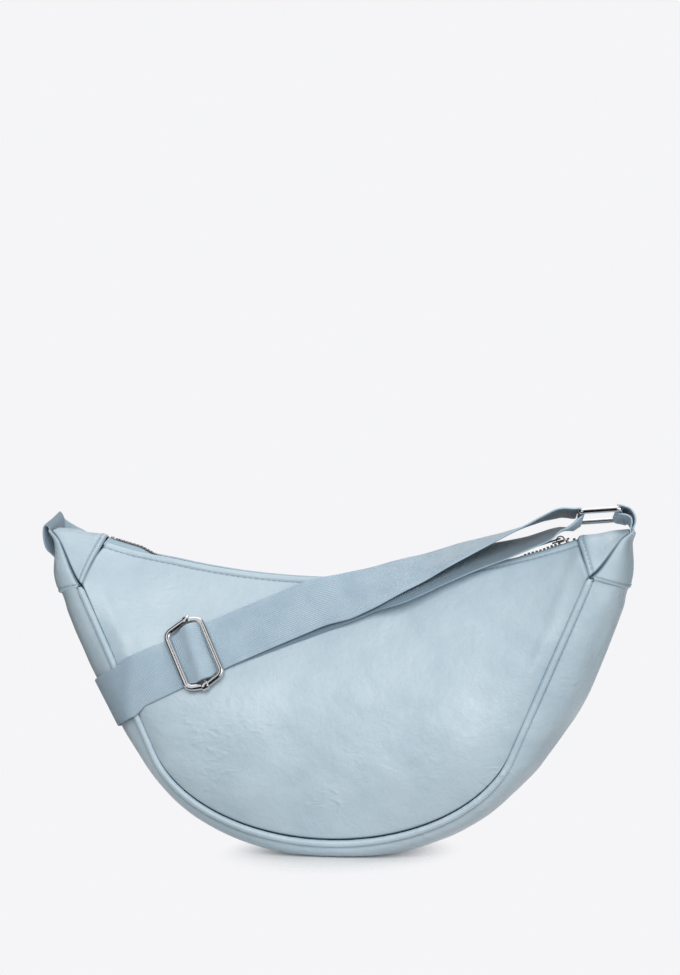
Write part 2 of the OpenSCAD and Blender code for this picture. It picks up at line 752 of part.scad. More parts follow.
ring_rows = let (
    points = concat(
        [ring_point(-ring_near, loop_r)],
        [for (a = [90:-22.5:-90]) ring_point(loop_r * cos(a), loop_r * sin(a))],
        [ring_point(-ring_near, -loop_r)]
    )
) faced(points, [for (p = points) ring_v]);

// Strap round the left side of the gusset, back to front, then along the panel to the adjuster
wrap_front_share = -0.705;
wrap_back_share = -0.625;
wrap_lift = web_lift + web_gap;
wrap_reach = web_w / 2 / norm(seam(1) - seam(1 - step)) * step;
wrap_steps = 16;
function wrap_point(t, w) = bow(
    seam(t),
    seam_depth(t) + piping_out + piping_r + wrap_lift + web_gap,
    seam_out(t) * (girth(t) + wrap_lift),
    fullness(t),
    0,
    w
);
wrap_places = [for (k = [0:wrap_steps]) let (w = 1 - 2 * k / wrap_steps) [mix(wrap_front_share, wrap_back_share, (w + 1) / 2), w]];
wrap_rows = faced(
    [for (q = wrap_places) wrap_point(q[0], q[1])],
    [for (q = wrap_places) unit(wrap_point(q[0] - wrap_reach, q[1]) - wrap_point(q[0] + wrap_reach, q[1]))]
);
function left_row(x) = on_front(x, strap_line(x), web_lift + web_gap);
side_x = seam(wrap_front_share)[0];
side_end = mix(side_x, strap_x, 0.36);
left_end_x = strap_x - adjuster_u[0] * (hump_end + web_w / 8);

// Strap behind the bag: out of the left slot, folded over, down to a fold and back to the side.
// Shares: offsets from the left slot in strap widths; places on the back of corner_x and corner_z
slot_shares = [
    [0, 0, 0.05, 0, 1, 0],
    [-0.02, 0, 0.1, 0, 0.98, 0.2],
    [-0.115, 0.03, 0.17, 0, 0.95, 0.31],
    [-0.175, 0.07, 0.1, 0, 0.87, 0.49],
    [-0.215, 0.2, -0.086, 0, 0.74, 0.67],
    [-0.15, 0.543, -0.371, 0.1, 0.62, 0.78],
    [0.213, 0.886, -0.686, 0.25, 0.4, 0.88],
    [0.727, 1.143, -1.086, 0.35, 0, 0.94],
    [1.356, 1.171, -1.43, 0.4, -0.12, 0.9]
];
down_shares = [[-0.749, 0.848], [-0.497, 0.728], [-0.234, 0.598], [0.058, 0.467], [0.292, 0.375], [0.433, 0.323]];
back_shares = [[0.4, 0.305, 2.6], [0.175, 0.272, 1.5], [-0.117, 0.272, 1.1], [-0.41, 0.326, 0.4], [-0.614, 0.408, 0.3]];
function to_back(s, lift) = on_back(s[0] * corner_x, s[1] * corner_z, lift);
slot_rows = let (s = spline(slot_shares, 2)) faced(
    [for (r = s) [-tab_x - layer + r[0] * web_w, r[1] * web_w, tab_z + r[2] * web_w]],
    [for (r = s) [r[3], r[4], r[5]]]
);
down_rows = [for (s = spline(down_shares, 2)) let (r = to_back(s, web_lift + web_gap)) [r[0], -r[1]]];
back_rows = [for (s = spline(back_shares, 2)) to_back(s, web_lift + s[2] * layer)];
fold_at = down_rows[len(down_rows) - 1];
fold_n = -fold_at[1];
fold_b = let (d = unit(fold_at[0] - down_rows[len(down_rows) - 3][0]) - unit(back_rows[2][0] - back_rows[0][0]))
    unit(d - fold_n * (d * fold_n));
fold_rows = [
    for (a = [0:22.5:180])
        let (r = fold_b * sin(a) - fold_n * cos(a)) [fold_at[0] + (fold_b + fold_n) * fold_r + fold_r * r, r]
];

// The strap as one way, cut into runs that meet in a common section
function part_of(rows, first, last) = [for (i = [first:last]) rows[i]];
function backwards(rows) = [for (i = [len(rows) - 1:-1:0]) [rows[i][0], -rows[i][1]]];
over_cut = line_steps + 1 + span_cut;
under_cut = line_steps + span_cut;
strap_runs = [
    concat(slot_rows, down_rows, fold_rows, back_rows),
    concat(wrap_rows, [for (x = [side_x + 3 * piping_r, mix(side_x + 3 * piping_r, side_end, 0.5)]) left_row(x)]),
    [for (x = [side_end, mix(side_end, left_end_x, 0.5), left_end_x]) left_row(x)],
    hump_rows,
    part_of(over_rows, 0, over_cut - 1),
    part_of(over_rows, over_cut, len(over_rows) - 1),
    ring_rows,
    backwards(part_of(under_rows, under_cut, len(under_rows) - 1)),
    backwards(part_of(under_rows, 0, under_cut - 1)),
    end_rows
];
strap_rows = flat(strap_runs);
function run_start(k) = k == 0 ? 0 : run_start(k - 1) + len(strap_runs[k - 1]);
module strap_run(k) {
    color("CadetBlue") webbing(strap_rows, run_start(k), min(run_start(k + 1), len(strap_rows) - 1));
}
module strap_back_run() {
    strap_run(0);
}
module strap_side_wrap() {
    strap_run(1);
}
module strap_left_run() {
    strap_run(2);
}
module strap_hump() {
    strap_run(3);
}
module strap_front_low() {
    strap_run(4);
}
module strap_front_high() {
    strap_run(5);
}
module strap_ring_loop() {
    strap_run(6);
}
module strap_return_high() {
    strap_run(7);
}
module strap_return_low() {
    strap_run(8);
}
module strap_end_loop() {
    strap_run(9);
}

front_panel();
back_panel();
gusset();
front_piping();
back_piping();
left_corner();
right_corner();
left_end();
right_end();
front_lining();
back_lining();
gusset_lining();
zip_tape_front();
zip_tape_back();
zip_teeth_front();
zip_teeth_back();
zip_bottom_stop();
zip_front_stop();
zip_back_stop();
zip_slider();
zip_puller();
right_tab();
strap_ring();
strap_ring_loop();
adjuster_frame();
adjuster_bar();
strap_hump();
strap_end_loop();
strap_front_low();
strap_front_high();
strap_return_low();
strap_return_high();
strap_left_run();
strap_side_wrap();
strap_back_run();
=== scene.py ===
"""Crescent crossbody bag in pale blue coated faux leather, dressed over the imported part.

Sizes are in millimetres, as a pattern cutter writes them, and become metres where a mesh is made.
The bag stands on z = 0 with its front towards -y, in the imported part's frame.
"""

import logging
import math
from dataclasses import dataclass, field, replace
from enum import Enum
from typing import Any, Optional, Sequence

import bmesh
import bpy
import numpy as np
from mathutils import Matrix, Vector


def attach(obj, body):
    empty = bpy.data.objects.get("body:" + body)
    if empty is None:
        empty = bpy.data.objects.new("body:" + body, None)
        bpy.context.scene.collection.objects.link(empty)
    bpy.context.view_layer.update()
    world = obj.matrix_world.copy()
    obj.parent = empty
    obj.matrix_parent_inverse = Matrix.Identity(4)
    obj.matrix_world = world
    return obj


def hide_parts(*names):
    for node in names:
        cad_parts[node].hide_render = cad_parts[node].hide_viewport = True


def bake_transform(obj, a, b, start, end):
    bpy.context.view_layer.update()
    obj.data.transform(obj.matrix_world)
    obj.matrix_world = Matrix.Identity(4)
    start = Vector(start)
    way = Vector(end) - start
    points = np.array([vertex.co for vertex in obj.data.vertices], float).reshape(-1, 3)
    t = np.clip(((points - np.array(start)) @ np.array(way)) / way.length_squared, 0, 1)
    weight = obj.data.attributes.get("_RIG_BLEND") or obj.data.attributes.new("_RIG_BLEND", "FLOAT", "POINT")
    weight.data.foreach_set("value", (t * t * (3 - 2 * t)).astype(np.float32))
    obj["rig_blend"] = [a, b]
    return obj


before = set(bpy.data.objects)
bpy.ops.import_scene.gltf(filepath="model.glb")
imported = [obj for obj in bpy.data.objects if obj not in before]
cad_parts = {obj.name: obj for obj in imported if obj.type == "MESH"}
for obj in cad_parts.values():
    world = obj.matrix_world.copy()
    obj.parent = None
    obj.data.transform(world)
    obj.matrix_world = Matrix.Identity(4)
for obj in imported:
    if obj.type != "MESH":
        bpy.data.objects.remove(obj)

LOG = logging.getLogger("crescent_bag")
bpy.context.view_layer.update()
MM = 0.001
Array = np.ndarray


class Body(Enum):
    """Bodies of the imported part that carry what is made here."""

    BAG = "bag"
    RING = "ring"
    ADJUSTER = "adjuster"


class Side(Enum):
    """Sides of the bag, as the sign of their axis."""

    MINUS = -1
    PLUS = 1


def mix(a: Any, b: Any, share: Any) -> Any:
    """Return the value at a share of the way from a to b."""
    return a + (b - a) * share


def ramp(low: float, high: float, x: Any) -> Any:
    """Return a smooth step from 0 at low to 1 at high."""
    u = np.clip((x - low) / (high - low), 0.0, 1.0)
    return u * u * (3.0 - 2.0 * u)


def unit(v: Array) -> Array:
    """Return vectors scaled to length 1."""
    return v / np.linalg.norm(v, axis=-1, keepdims=True)


def bell(x: Any, width: float) -> Any:
    """Return a bell curve of height 1 at x = 0."""
    return np.exp(-((x / width) ** 2))


def spline(rows: Array, steps: int) -> Array:
    """Run a smooth curve through rows of numbers.

    Args:
        rows: The rows that the curve passes through.
        steps: How many rows to make for each one given.

    Returns:
        The denser rows.
    """
    last = len(rows) - 1
    out = []
    for i in range(last):
        a, b, c, d = rows[max(i - 1, 0)], rows[i], rows[i + 1], rows[min(i + 2, last)]
        for k in range(steps):
            u = k / steps
            bend = (2 * a - 5 * b + 4 * c - d) * u**2 + (3 * b - a - 3 * c + d) * u**3
            out.append((2 * b + (c - a) * u + bend) / 2)
    out.append(rows[-1])
    return np.array(out)


def smooth_way(rows: Array, gap: float) -> tuple[Array, list[int]]:
    """Run a curve through unevenly spaced rows without overshoot.

    Args:
        rows: Rows of a centre and a direction across, six numbers each.
        gap: The longest step between the new rows, in mm.

    Returns:
        The new rows, and the place of each given row among them.
    """
    out: list[Array] = []
    places = []
    for i in range(len(rows) - 1):
        b, c = rows[i], rows[i + 1]
        a = rows[i - 1] if i else 2 * b - c
        d = rows[i + 2] if i + 2 < len(rows) else 2 * c - b
        knots = [0.0]
        for p, q in ((a, b), (b, c), (c, d)):
            knots.append(knots[-1] + max(np.linalg.norm(q[:3] - p[:3]), 1e-4) ** 0.5)
        places.append(len(out))
        count = max(1, math.ceil(np.linalg.norm(c[:3] - b[:3]) / gap))
        for k in range(count):
            t = mix(knots[1], knots[2], k / count)
            low = mix(a, b, (t - knots[0]) / (knots[1] - knots[0]))
            middle = mix(b, c, (t - knots[1]) / (knots[2] - knots[1]))
            high = mix(c, d, (t - knots[2]) / (knots[3] - knots[2]))
            first = mix(low, middle, (t - knots[0]) / (knots[2] - knots[0]))
            second = mix(middle, high, (t - knots[1]) / (knots[3] - knots[1]))
            out.append(mix(first, second, (t - knots[1]) / (knots[2] - knots[1])))
    places.append(len(out))
    out.append(rows[-1])
    return np.array(out), places


def stretches(ends: Sequence[float], counts: Sequence[int]) -> Array:
    """Return numbers that run from end to end, with each stretch divided by its own count."""
    parts = [np.linspace(a, b, n)[:-1] for a, b, n in zip(ends, ends[1:], counts)]
    return np.append(np.concatenate(parts), ends[-1])


@dataclass(frozen=True)
class Line:
    """A seam, roll or fold that runs along an edge, as a bell-shaped change of height or shade."""

    size: float
    width: float
    at: float = 0.0

    def over(self, distance: Any) -> Any:
        """Return the change at a distance from the edge."""
        return self.size * bell(distance - self.at, self.width)


@dataclass(frozen=True)
class Ripples:
    """Soft random dents, with waves of a given length along each axis, in mm."""

    size: float
    waves: tuple[float, float, float]
    seed: int
    count: int = 9
    reach: float = 4.2

    def over(self, places: Array) -> Array:
        """Add up waves that run in random directions.

        Args:
            places: Places in mm.

        Returns:
            The height of the dents at each place, in mm.
        """
        rng = np.random.default_rng(self.seed)
        out = np.zeros(places.shape[:-1])
        for _ in range(self.count):
            way = unit(rng.normal(size=3)) * rng.uniform(0.7, 1.4)
            start = rng.uniform(0, 2 * math.pi)
            out += np.cos(places @ (2 * math.pi * way / np.array(self.waves)) + start)
        return self.size * out / self.reach


@dataclass(frozen=True)
class BagForm:
    """Outline of the bag's sheets, in mm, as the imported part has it."""

    arc_w: float = 124.0
    arc_h: float = 78.0
    seam_low: float = 11.0
    corner_x: float = 171.0
    corner_z: float = 184.0
    mouth_x: float = 161.0
    mouth_low: float = 184.5
    mouth_sag: float = 25.5
    mouth_half: float = 9.0
    tab_x: float = 195.8
    tab_z: float = 216.0
    tab_half: float = 18.2
    depth_low: float = 40.0
    depth_corner: float = 35.0
    belly: float = 18.0
    girth_low: float = 13.5
    girth_turn: float = 13.4
    girth_side: float = 27.0
    girth_corner: float = 26.0
    ridge_rise: float = 2.9
    tab_rise: float = 1.8
    zip_rise: float = 1.0
    rim_out: float = 3.65
    rim_top: float = 0.3
    rim_share: tuple[float, float] = (0.0, 0.05)
    tab_flare: float = 2.3
    arc_share: float = 0.54
    arc_turn: float = 74.0
    belly_skew: float = 0.75
    left_drop: float = 5.2
    right_rise: float = 2.4
    slim_left: float = 3.6
    slim_right: float = -0.6
    slim_end: float = 1.9
    twist: float = 0.05
    turn_share: tuple[float, float] = (0.05, 0.3)
    side_share: tuple[float, float] = (0.42, 0.75)
    corner_share: tuple[float, float] = (0.8, 1.0)
    slim_left_share: tuple[float, float] = (0.4, 0.8)
    slim_right_share: tuple[float, float] = (0.6, 0.85)
    depth_share: tuple[float, float] = (0.3, 1.0)
    full_low: float = 3.2
    full_side: float = 2.2
    full_share: tuple[float, float] = (0.1, 0.6)
    flare_share: tuple[float, float] = (0.75, 1.0)
    end_swell_share: float = 0.08
    end_swell_power: float = 1.25
    side_ease_share: float = 0.6
    step: float = 0.001

    @property
    def panel_h(self) -> float:
        """Height of the panel at its middle."""
        return self.mouth_low - self.seam_low

    @property
    def mouth_r(self) -> float:
        """Radius of the mouth's arc."""
        return (self.mouth_x**2 + self.mouth_sag**2) / (2 * self.mouth_sag)

    @property
    def arc_z(self) -> float:
        """Height of the centre of the mouth's arc."""
        return self.mouth_low + self.mouth_r

    def mirrored(self) -> "BagForm":
        """Swap what differs between the two sides.

        Returns:
            The outline seen in a mirror, for the pieces of the left side.
        """
        return replace(
            self,
            left_drop=-self.right_rise,
            right_rise=-self.left_drop,
            slim_left=self.slim_right,
            slim_right=self.slim_left,
            slim_end=self.slim_left,
            twist=0.0,
        )

    def corner(self, t: Any) -> Array:
        """Return the height of the corner point on the side of t."""
        return self.corner_z + np.where(np.asarray(t) < 0, -self.left_drop, self.right_rise)

    def seam(self, t: Any) -> Array:
        """Work out the side seam: a flattened arc below and a straight rise on each side.

        Args:
            t: Places from -1 at the left corner to 1 at the right one.

        Returns:
            x and z of each place.
        """
        t = np.asarray(t, float)
        turn = np.radians(np.minimum(np.abs(t) / self.arc_share, 1) * self.arc_turn)
        v = np.maximum(0, (np.abs(t) - self.arc_share) / (1 - self.arc_share))
        x = mix(self.arc_w * np.sin(turn), self.corner_x, v)
        z = mix(self.seam_low + self.arc_h * (1 - np.cos(turn)), self.corner(t), v)
        return np.stack([np.where(t < 0, -1, 1) * x, z], -1)

    def seam_out(self, t: Any) -> Array:
        """Return the outward direction of the seam in x and z."""
        d = self.seam(np.asarray(t) + self.step) - self.seam(np.asarray(t) - self.step)
        return unit(np.stack([d[..., 1], -d[..., 0]], -1))

    def depth(self, t: Any) -> Array:
        """Return half the bag's depth along the seam."""
        return mix(self.depth_low, self.depth_corner, ramp(*self.depth_share, np.abs(t)))

    def mouth_z(self, x: Any) -> Array:
        """Return the height of the mouth's edge."""
        return self.arc_z - np.sqrt(self.mouth_r**2 - np.asarray(x, float) ** 2)

    def mouth(self, t: Any) -> Array:
        """Return x and z of the mouth's edge."""
        x = self.seam(t)[..., 0] * self.mouth_x / self.corner_x
        return np.stack([x, self.mouth_z(x)], -1)

    def ruling(self, t: Any) -> Array:
        """Return the length of the line from seam to mouth."""
        return np.linalg.norm(self.mouth(t) - self.seam(t), axis=-1)

    def panel(self, t: Any, v: Any) -> Array:
        """Work out the bellied front panel.

        Args:
            t: Places along the seam.
            v: Places from 0 at the seam to 1 at the mouth.

        Returns:
            The places, in mm.
        """
        t, v = np.broadcast_arrays(np.asarray(t, float), np.asarray(v, float))
        p = mix(self.seam(t), self.mouth(t), v[..., None])
        y = -mix(self.depth(t), self.mouth_half, v) - self.swell(self.ruling(t), v)
        return np.stack([p[..., 0], y, p[..., 1]], -1)

    def swell(self, length: Any, v: Any) -> Any:
        """Return the belly at a share of a line of the given length from seam to mouth."""
        return self.belly * length / self.panel_h * np.sin(np.pi * np.maximum(v, 0) ** self.belly_skew)

    def panel_out(self, t: Any, v: Any) -> Array:
        """Work out the front panel's outward directions.

        Args:
            t: Places along the seam.
            v: Places from seam to mouth.

        Returns:
            One direction for each place.
        """
        e = self.step
        t, v = np.asarray(t, float), np.asarray(v, float)
        along = self.panel(t + e, v) - self.panel(t - e, v)
        up = self.panel(t, v + e) - self.panel(t, v - e)
        return unit(np.cross(along, up))

    def girth(self, t: Any) -> Array:
        """Work out how far the gusset swells.

        Args:
            t: Places along the seam.

        Returns:
            The swell at each place, in mm.
        """
        u = np.abs(t)
        left = self.slim_left * ramp(*self.slim_left_share, u)
        right = self.slim_right * ramp(*self.slim_right_share, u)
        return (
            mix(self.girth_low, self.girth_turn, ramp(*self.turn_share, u))
            + (self.girth_side - self.girth_turn) * ramp(*self.side_share, u)
            + (self.girth_corner - self.girth_side) * ramp(*self.corner_share, u)
            - np.where(np.asarray(t) < 0, left, right)
        )

    def fullness(self, t: Any) -> Array:
        """Return the power of the gusset's rounded section."""
        return mix(self.full_low, self.full_side, ramp(*self.full_share, np.abs(t)))

    def bow(self, side: Array, half: Any, swell: Array, power: Any, out: Any, w: Any) -> Array:
        """Return places on a rounded section that bows out from a seam.

        Args:
            side: x and z of the seam.
            half: Half depth at the seam.
            swell: x and z of the section's furthest reach.
            power: Power of the rounded section.
            out: Distance from the seam at which the section starts.
            w: Place along the section, -1 at the front and 1 at the back.

        Returns:
            The places.
        """
        reach = np.linalg.norm(swell, axis=-1)
        a = w * np.arccos(np.minimum(1, out / reach) ** (power / 2))
        f = np.cos(a) ** (2 / power)
        s = np.sign(w) * np.abs(np.sin(a)) ** (2 / power)
        x = side[..., 0] + swell[..., 0] * f
        z = np.maximum(0, side[..., 1] + swell[..., 1] * f)
        return np.stack([x, half * s, z], -1)

    def gusset(self, t: Any, w: Any, out: float) -> Array:
        """Work out the gusset.

        Args:
            t: Places along the seam.
            w: Places across, from -1 at the front to 1 at the back.
            out: Distance from the seam at which it starts.

        Returns:
            The places, in mm.
        """
        t, w = np.broadcast_arrays(np.asarray(t, float), np.asarray(w, float))
        swell = self.seam_out(t) * self.girth(t)[..., None]
        return self.bow(self.seam(t), self.depth(t), swell, self.fullness(t), out, w)

    def side_seam(self, a: Any) -> Array:
        """Work out the front seam from the corner point up to the tab.

        Args:
            a: Places from 0 at the corner point to 1 at the tab.

        Returns:
            The places, in mm.
        """
        a = np.asarray(a, float)
        rise = mix(a, ramp(0, 1, a), self.side_ease_share)
        z = mix(self.corner(1.0), self.tab_z, rise)
        x = mix(self.corner_x, self.tab_x, a)
        return np.stack([x, -mix(self.depth_corner, self.tab_half, a), z], -1)

    def patch(self, a: Any, b: Any) -> Array:
        """Work out a corner patch, folded over the zip's end.

        Args:
            a: Places from 0 at the corner point to 1 at the tab.
            b: Places from 0 at the front seam over 2 at the ridge to 4 at the back seam.

        Returns:
            The places, in mm.
        """
        a, b = np.broadcast_arrays(np.asarray(a, float), np.asarray(b, float))
        q = np.where(b <= 2, b, 4 - b)
        s = self.side_seam(a)
        mouth_end = self.mouth_z(self.mouth_x)
        hx = mix(self.mouth_x, self.tab_x, a)
        hz = mix(mouth_end, self.tab_z + self.tab_rise / 2, a)
        top = mix(mouth_end + self.ridge_rise, self.tab_z + self.tab_rise, a)
        length = np.hypot(hx - s[..., 0], hz - s[..., 2])
        low = np.clip(q, 0, 1)
        high = np.clip(q - 1, 0, 1)
        x = mix(s[..., 0], hx, low)
        y = mix(s[..., 1], -self.mouth_half, low) - self.swell(length, low)
        z = mix(s[..., 2], hz, low)
        y = np.where(q > 1, mix(-self.mouth_half, 0, high), y)
        z = np.where(q > 1, mix(hz, top, np.sin(np.pi / 2 * high)), z)
        return np.stack([x, np.where(b <= 2, y, -y), z], -1)

    def end(self, a: Any, w: Any) -> Array:
        """Work out an end patch, which laps the gusset below the corner point.

        Args:
            a: Places from below 0, the corner point, to 1 at the tab.
            w: Places across, from -1 at the front to 1 at the back.

        Returns:
            The places, in mm.
        """
        a, w = np.broadcast_arrays(np.asarray(a, float), np.asarray(w, float))
        up = np.maximum(a, 0)
        s = self.side_seam(up)
        side = np.stack([s[..., 0] + self.tab_flare * ramp(*self.flare_share, up), s[..., 2]], -1)
        reach = (self.girth_corner - self.slim_end) * mix(1, self.end_swell_share, up**self.end_swell_power)
        swell = self.seam_out(1.0) * reach[..., None]
        half = mix(self.depth_corner, self.tab_half, up)
        start = mix(self.rim_out, self.rim_top, ramp(*self.rim_share, up))
        high = self.bow(side, half, swell, self.fullness(1.0), start, w)
        low = self.gusset(1 + np.minimum(a, 0), w, self.rim_out)
        return np.where((a <= 0)[..., None], low, high)

    def twisted(self, places: Array) -> Array:
        """Turn the end of the bag a little to the back, as the ring pulls it.

        Args:
            places: Places on a patch, in mm.

        Returns:
            The turned places.
        """
        share = self.twist * ramp(self.corner_z, self.tab_z, places[..., 2])
        out = places.copy()
        out[..., 0] -= share * (places[..., 1] + self.tab_half)
        return out

    def piping(self, t: Any, radius_out: float = 1.0) -> Array:
        """Work out the centre line of the front piping.

        Args:
            t: Places along the seam.
            radius_out: How far the line lies out from the seam, to the side and to the front.

        Returns:
            The line, in mm.
        """
        p = self.seam(t) + self.seam_out(t) * radius_out
        return np.stack([p[..., 0], -self.depth(t) - radius_out, p[..., 1]], -1)

    def on_front(self, x: float, z: float, lift: float) -> Array:
        """Find the place on the front panel that is seen at x and z.

        Args:
            x: Place to the side, in mm.
            z: Height, in mm.
            lift: How far above the panel the place lies.

        Returns:
            The place and the panel's outward direction, as six numbers.
        """
        low, high = -1.0, 1.0
        for _ in range(24):
            t = (low + high) / 2
            a, b = self.seam(t), self.mouth(t)
            if (b[0] - a[0]) * (z - a[1]) - (b[1] - a[1]) * (x - a[0]) > 0:
                high = t
            else:
                low = t
        r = b - a
        v = min(0.98, max(0.02, float((np.array([x, z]) - a) @ r / (r @ r))))
        out = self.panel_out(t, v)
        return np.concatenate([self.panel(t, v) + out * lift, out])

    def on_back(self, x: float, z: float, lift: float) -> Array:
        """Return the same for the back panel."""
        return self.on_front(x, z, lift) * np.array([1, -1, 1, 1, -1, 1])


FORM = BagForm()


def linear(code: str) -> tuple[float, float, float, float]:
    """Turn an sRGB hex colour into a linear one."""
    parts = [int(code[i : i + 2], 16) / 255 for i in (1, 3, 5)]
    return (*[c / 12.92 if c <= 0.04045 else ((c + 0.055) / 1.055) ** 2.4 for c in parts], 1.0)


def add(tree: Any, kind: str, settings: Optional[dict] = None, links: Optional[dict] = None) -> Any:
    """Add a node with its settings and links.

    Args:
        tree: The node tree.
        kind: The node's type.
        settings: Values by property name, or by input name or number.
        links: Output sockets by input name or number.

    Returns:
        The node.
    """
    node = tree.nodes.new(kind)
    for key, value in (settings or {}).items():
        if key == "stops":
            ramp_stops = node.color_ramp.elements
            for i, (place, colour) in enumerate(value):
                stop = ramp_stops[i] if i < 2 else ramp_stops.new(place)
                stop.position = place
                stop.color = colour
        elif isinstance(key, str) and hasattr(node, key):
            setattr(node, key, value)
        else:
            node.inputs[key].default_value = value
    for key, socket in (links or {}).items():
        tree.links.new(socket, node.inputs[key])
    return node


def new_material(name: str, colour: str) -> tuple[Any, Any, Any]:
    """Make an empty node material.

    Args:
        name: The real material's name.
        colour: The colour it shows without nodes.

    Returns:
        The material, its tree and its principled shader.
    """
    material = bpy.data.materials.new(name)
    material.use_nodes = True
    material.diffuse_color = linear(colour)
    tree = material.node_tree
    tree.nodes.clear()
    shader = add(tree, "ShaderNodeBsdfPrincipled")
    add(tree, "ShaderNodeOutputMaterial", links={"Surface": shader.outputs[0]})
    return material, tree, shader


def grey(value: float) -> tuple[float, float, float, float]:
    """Return a grey as a linear colour."""
    return (value, value, value, 1.0)


@dataclass(frozen=True)
class FauxLeather:
    """Polyurethane-coated cloth, drum-crushed.

    The coating gives a soft half gloss with broad highlights. Crushing leaves cloudy tone and faint
    creases in patches. A dark colour is painted on as shade along seams, hems and stitching, on
    inner faces, at the floor contact and over the patches.
    """

    name: str = "polyurethane coated cloth, crushed"
    colour: str = "#B5C8D3"
    light: str = "#BECFD9"
    shade: str = "#ABC0CC"
    # Colour of the painted shade, mixed in by the shade attribute along seams, hems and stitching, on inner
    # faces, at the floor contact and over the patches.
    seam: str = "#40596A"
    roughness: float = 0.4
    cloud_mm: float = 55.0
    patch_mm: float = 60.0
    soft_mm: float = 13.0
    crease_mm: float = 5.5
    grain_mm: float = 1.6
    patch_at: tuple[float, float, float] = (0.242, 0.0, -0.06)
    patch_edge: tuple[float, float] = (0.5, 0.68)
    patch_low: float = 0.05
    gloss_spread: float = 0.06
    grain_deep: float = 0.00022
    soft_deep: float = 0.0016
    crease_deep: float = 0.0009

    def build(self) -> Any:
        """Build the finish: clouds of tone, painted shade from the shade attribute, a grain, soft dents and
        patches of creases.

        Returns:
            The material.
        """
        material, tree, shader = new_material(self.name, self.colour)
        place = add(tree, "ShaderNodeTexCoord").outputs["Object"]
        cloud = add(
            tree,
            "ShaderNodeTexNoise",
            {"Scale": 1000 / self.cloud_mm, "Detail": 4.0, "Roughness": 0.6},
            {"Vector": place},
        )
        stretch = add(
            tree,
            "ShaderNodeMapping",
            {"Scale": (0.6, 1.0, 1.0), "Rotation": (0.0, 0.5, 0.0)},
            {"Vector": place},
        )
        crease = add(
            tree,
            "ShaderNodeTexNoise",
            {
                "noise_type": "RIDGED_MULTIFRACTAL",
                "Scale": 1000 / self.crease_mm,
                "Detail": 3.0,
                "Distortion": 0.7,
            },
            {"Vector": stretch.outputs[0]},
        )
        moved = add(tree, "ShaderNodeMapping", {"Location": self.patch_at}, {"Vector": place})
        patches = add(
            tree,
            "ShaderNodeTexNoise",
            {"Scale": 1000 / self.patch_mm, "Detail": 3.0},
            {"Vector": moved.outputs[0]},
        )
        where = add(
            tree,
            "ShaderNodeMapRange",
            {"From Min": self.patch_edge[0], "From Max": self.patch_edge[1], "To Min": self.patch_low},
            {"Value": patches.outputs["Fac"]},
        )
        folds = add(
            tree,
            "ShaderNodeMath",
            {"operation": "MULTIPLY"},
            {0: crease.outputs["Fac"], 1: where.outputs[0]},
        )
        tone = add(
            tree,
            "ShaderNodeValToRGB",
            {"stops": [(0.3, linear(self.shade)), (0.5, linear(self.colour)), (0.72, linear(self.light))]},
            {"Fac": cloud.outputs["Fac"]},
        )
        # Painted shade: mix towards the dark shade colour as far as the shade attribute says.
        seam = add(tree, "ShaderNodeAttribute", {"attribute_name": "shade"})
        colour = add(
            tree,
            "ShaderNodeMix",
            {"data_type": "RGBA", 7: linear(self.seam)},
            {0: seam.outputs["Fac"], 6: tone.outputs[0]},
        )
        tree.links.new(colour.outputs[2], shader.inputs["Base Color"])
        gloss = add(
            tree,
            "ShaderNodeMapRange",
            {
                "From Min": 0.3,
                "From Max": 0.7,
                "To Min": self.roughness + self.gloss_spread,
                "To Max": self.roughness - self.gloss_spread,
            },
            {"Value": cloud.outputs["Fac"]},
        )
        tree.links.new(gloss.outputs[0], shader.inputs["Roughness"])
        fine = {"Scale": 1000 / self.grain_mm, "Detail": 3.0}
        grain = add(tree, "ShaderNodeTexNoise", fine, {"Vector": place})
        soft = add(
            tree,
            "ShaderNodeTexNoise",
            {"Scale": 1000 / self.soft_mm, "Detail": 6.0, "Roughness": 0.62},
            {"Vector": place},
        )
        below = {}
        for strength, deep, height in (
            (0.35, self.grain_deep, grain.outputs["Fac"]),
            (0.6, self.soft_deep, soft.outputs["Fac"]),
            (1.0, self.crease_deep, folds.outputs[0]),
        ):
            settings = {"Strength": strength, "Distance": deep}
            bump = add(tree, "ShaderNodeBump", settings, {"Height": height, **below})
            below = {"Normal": bump.outputs[0]}
        tree.links.new(bump.outputs[0], shader.inputs["Normal"])
        shader.inputs["IOR"].default_value = 1.5
        shader.inputs["Coat Weight"].default_value = 0.12
        shader.inputs["Coat Roughness"].default_value = 0.3
        return material


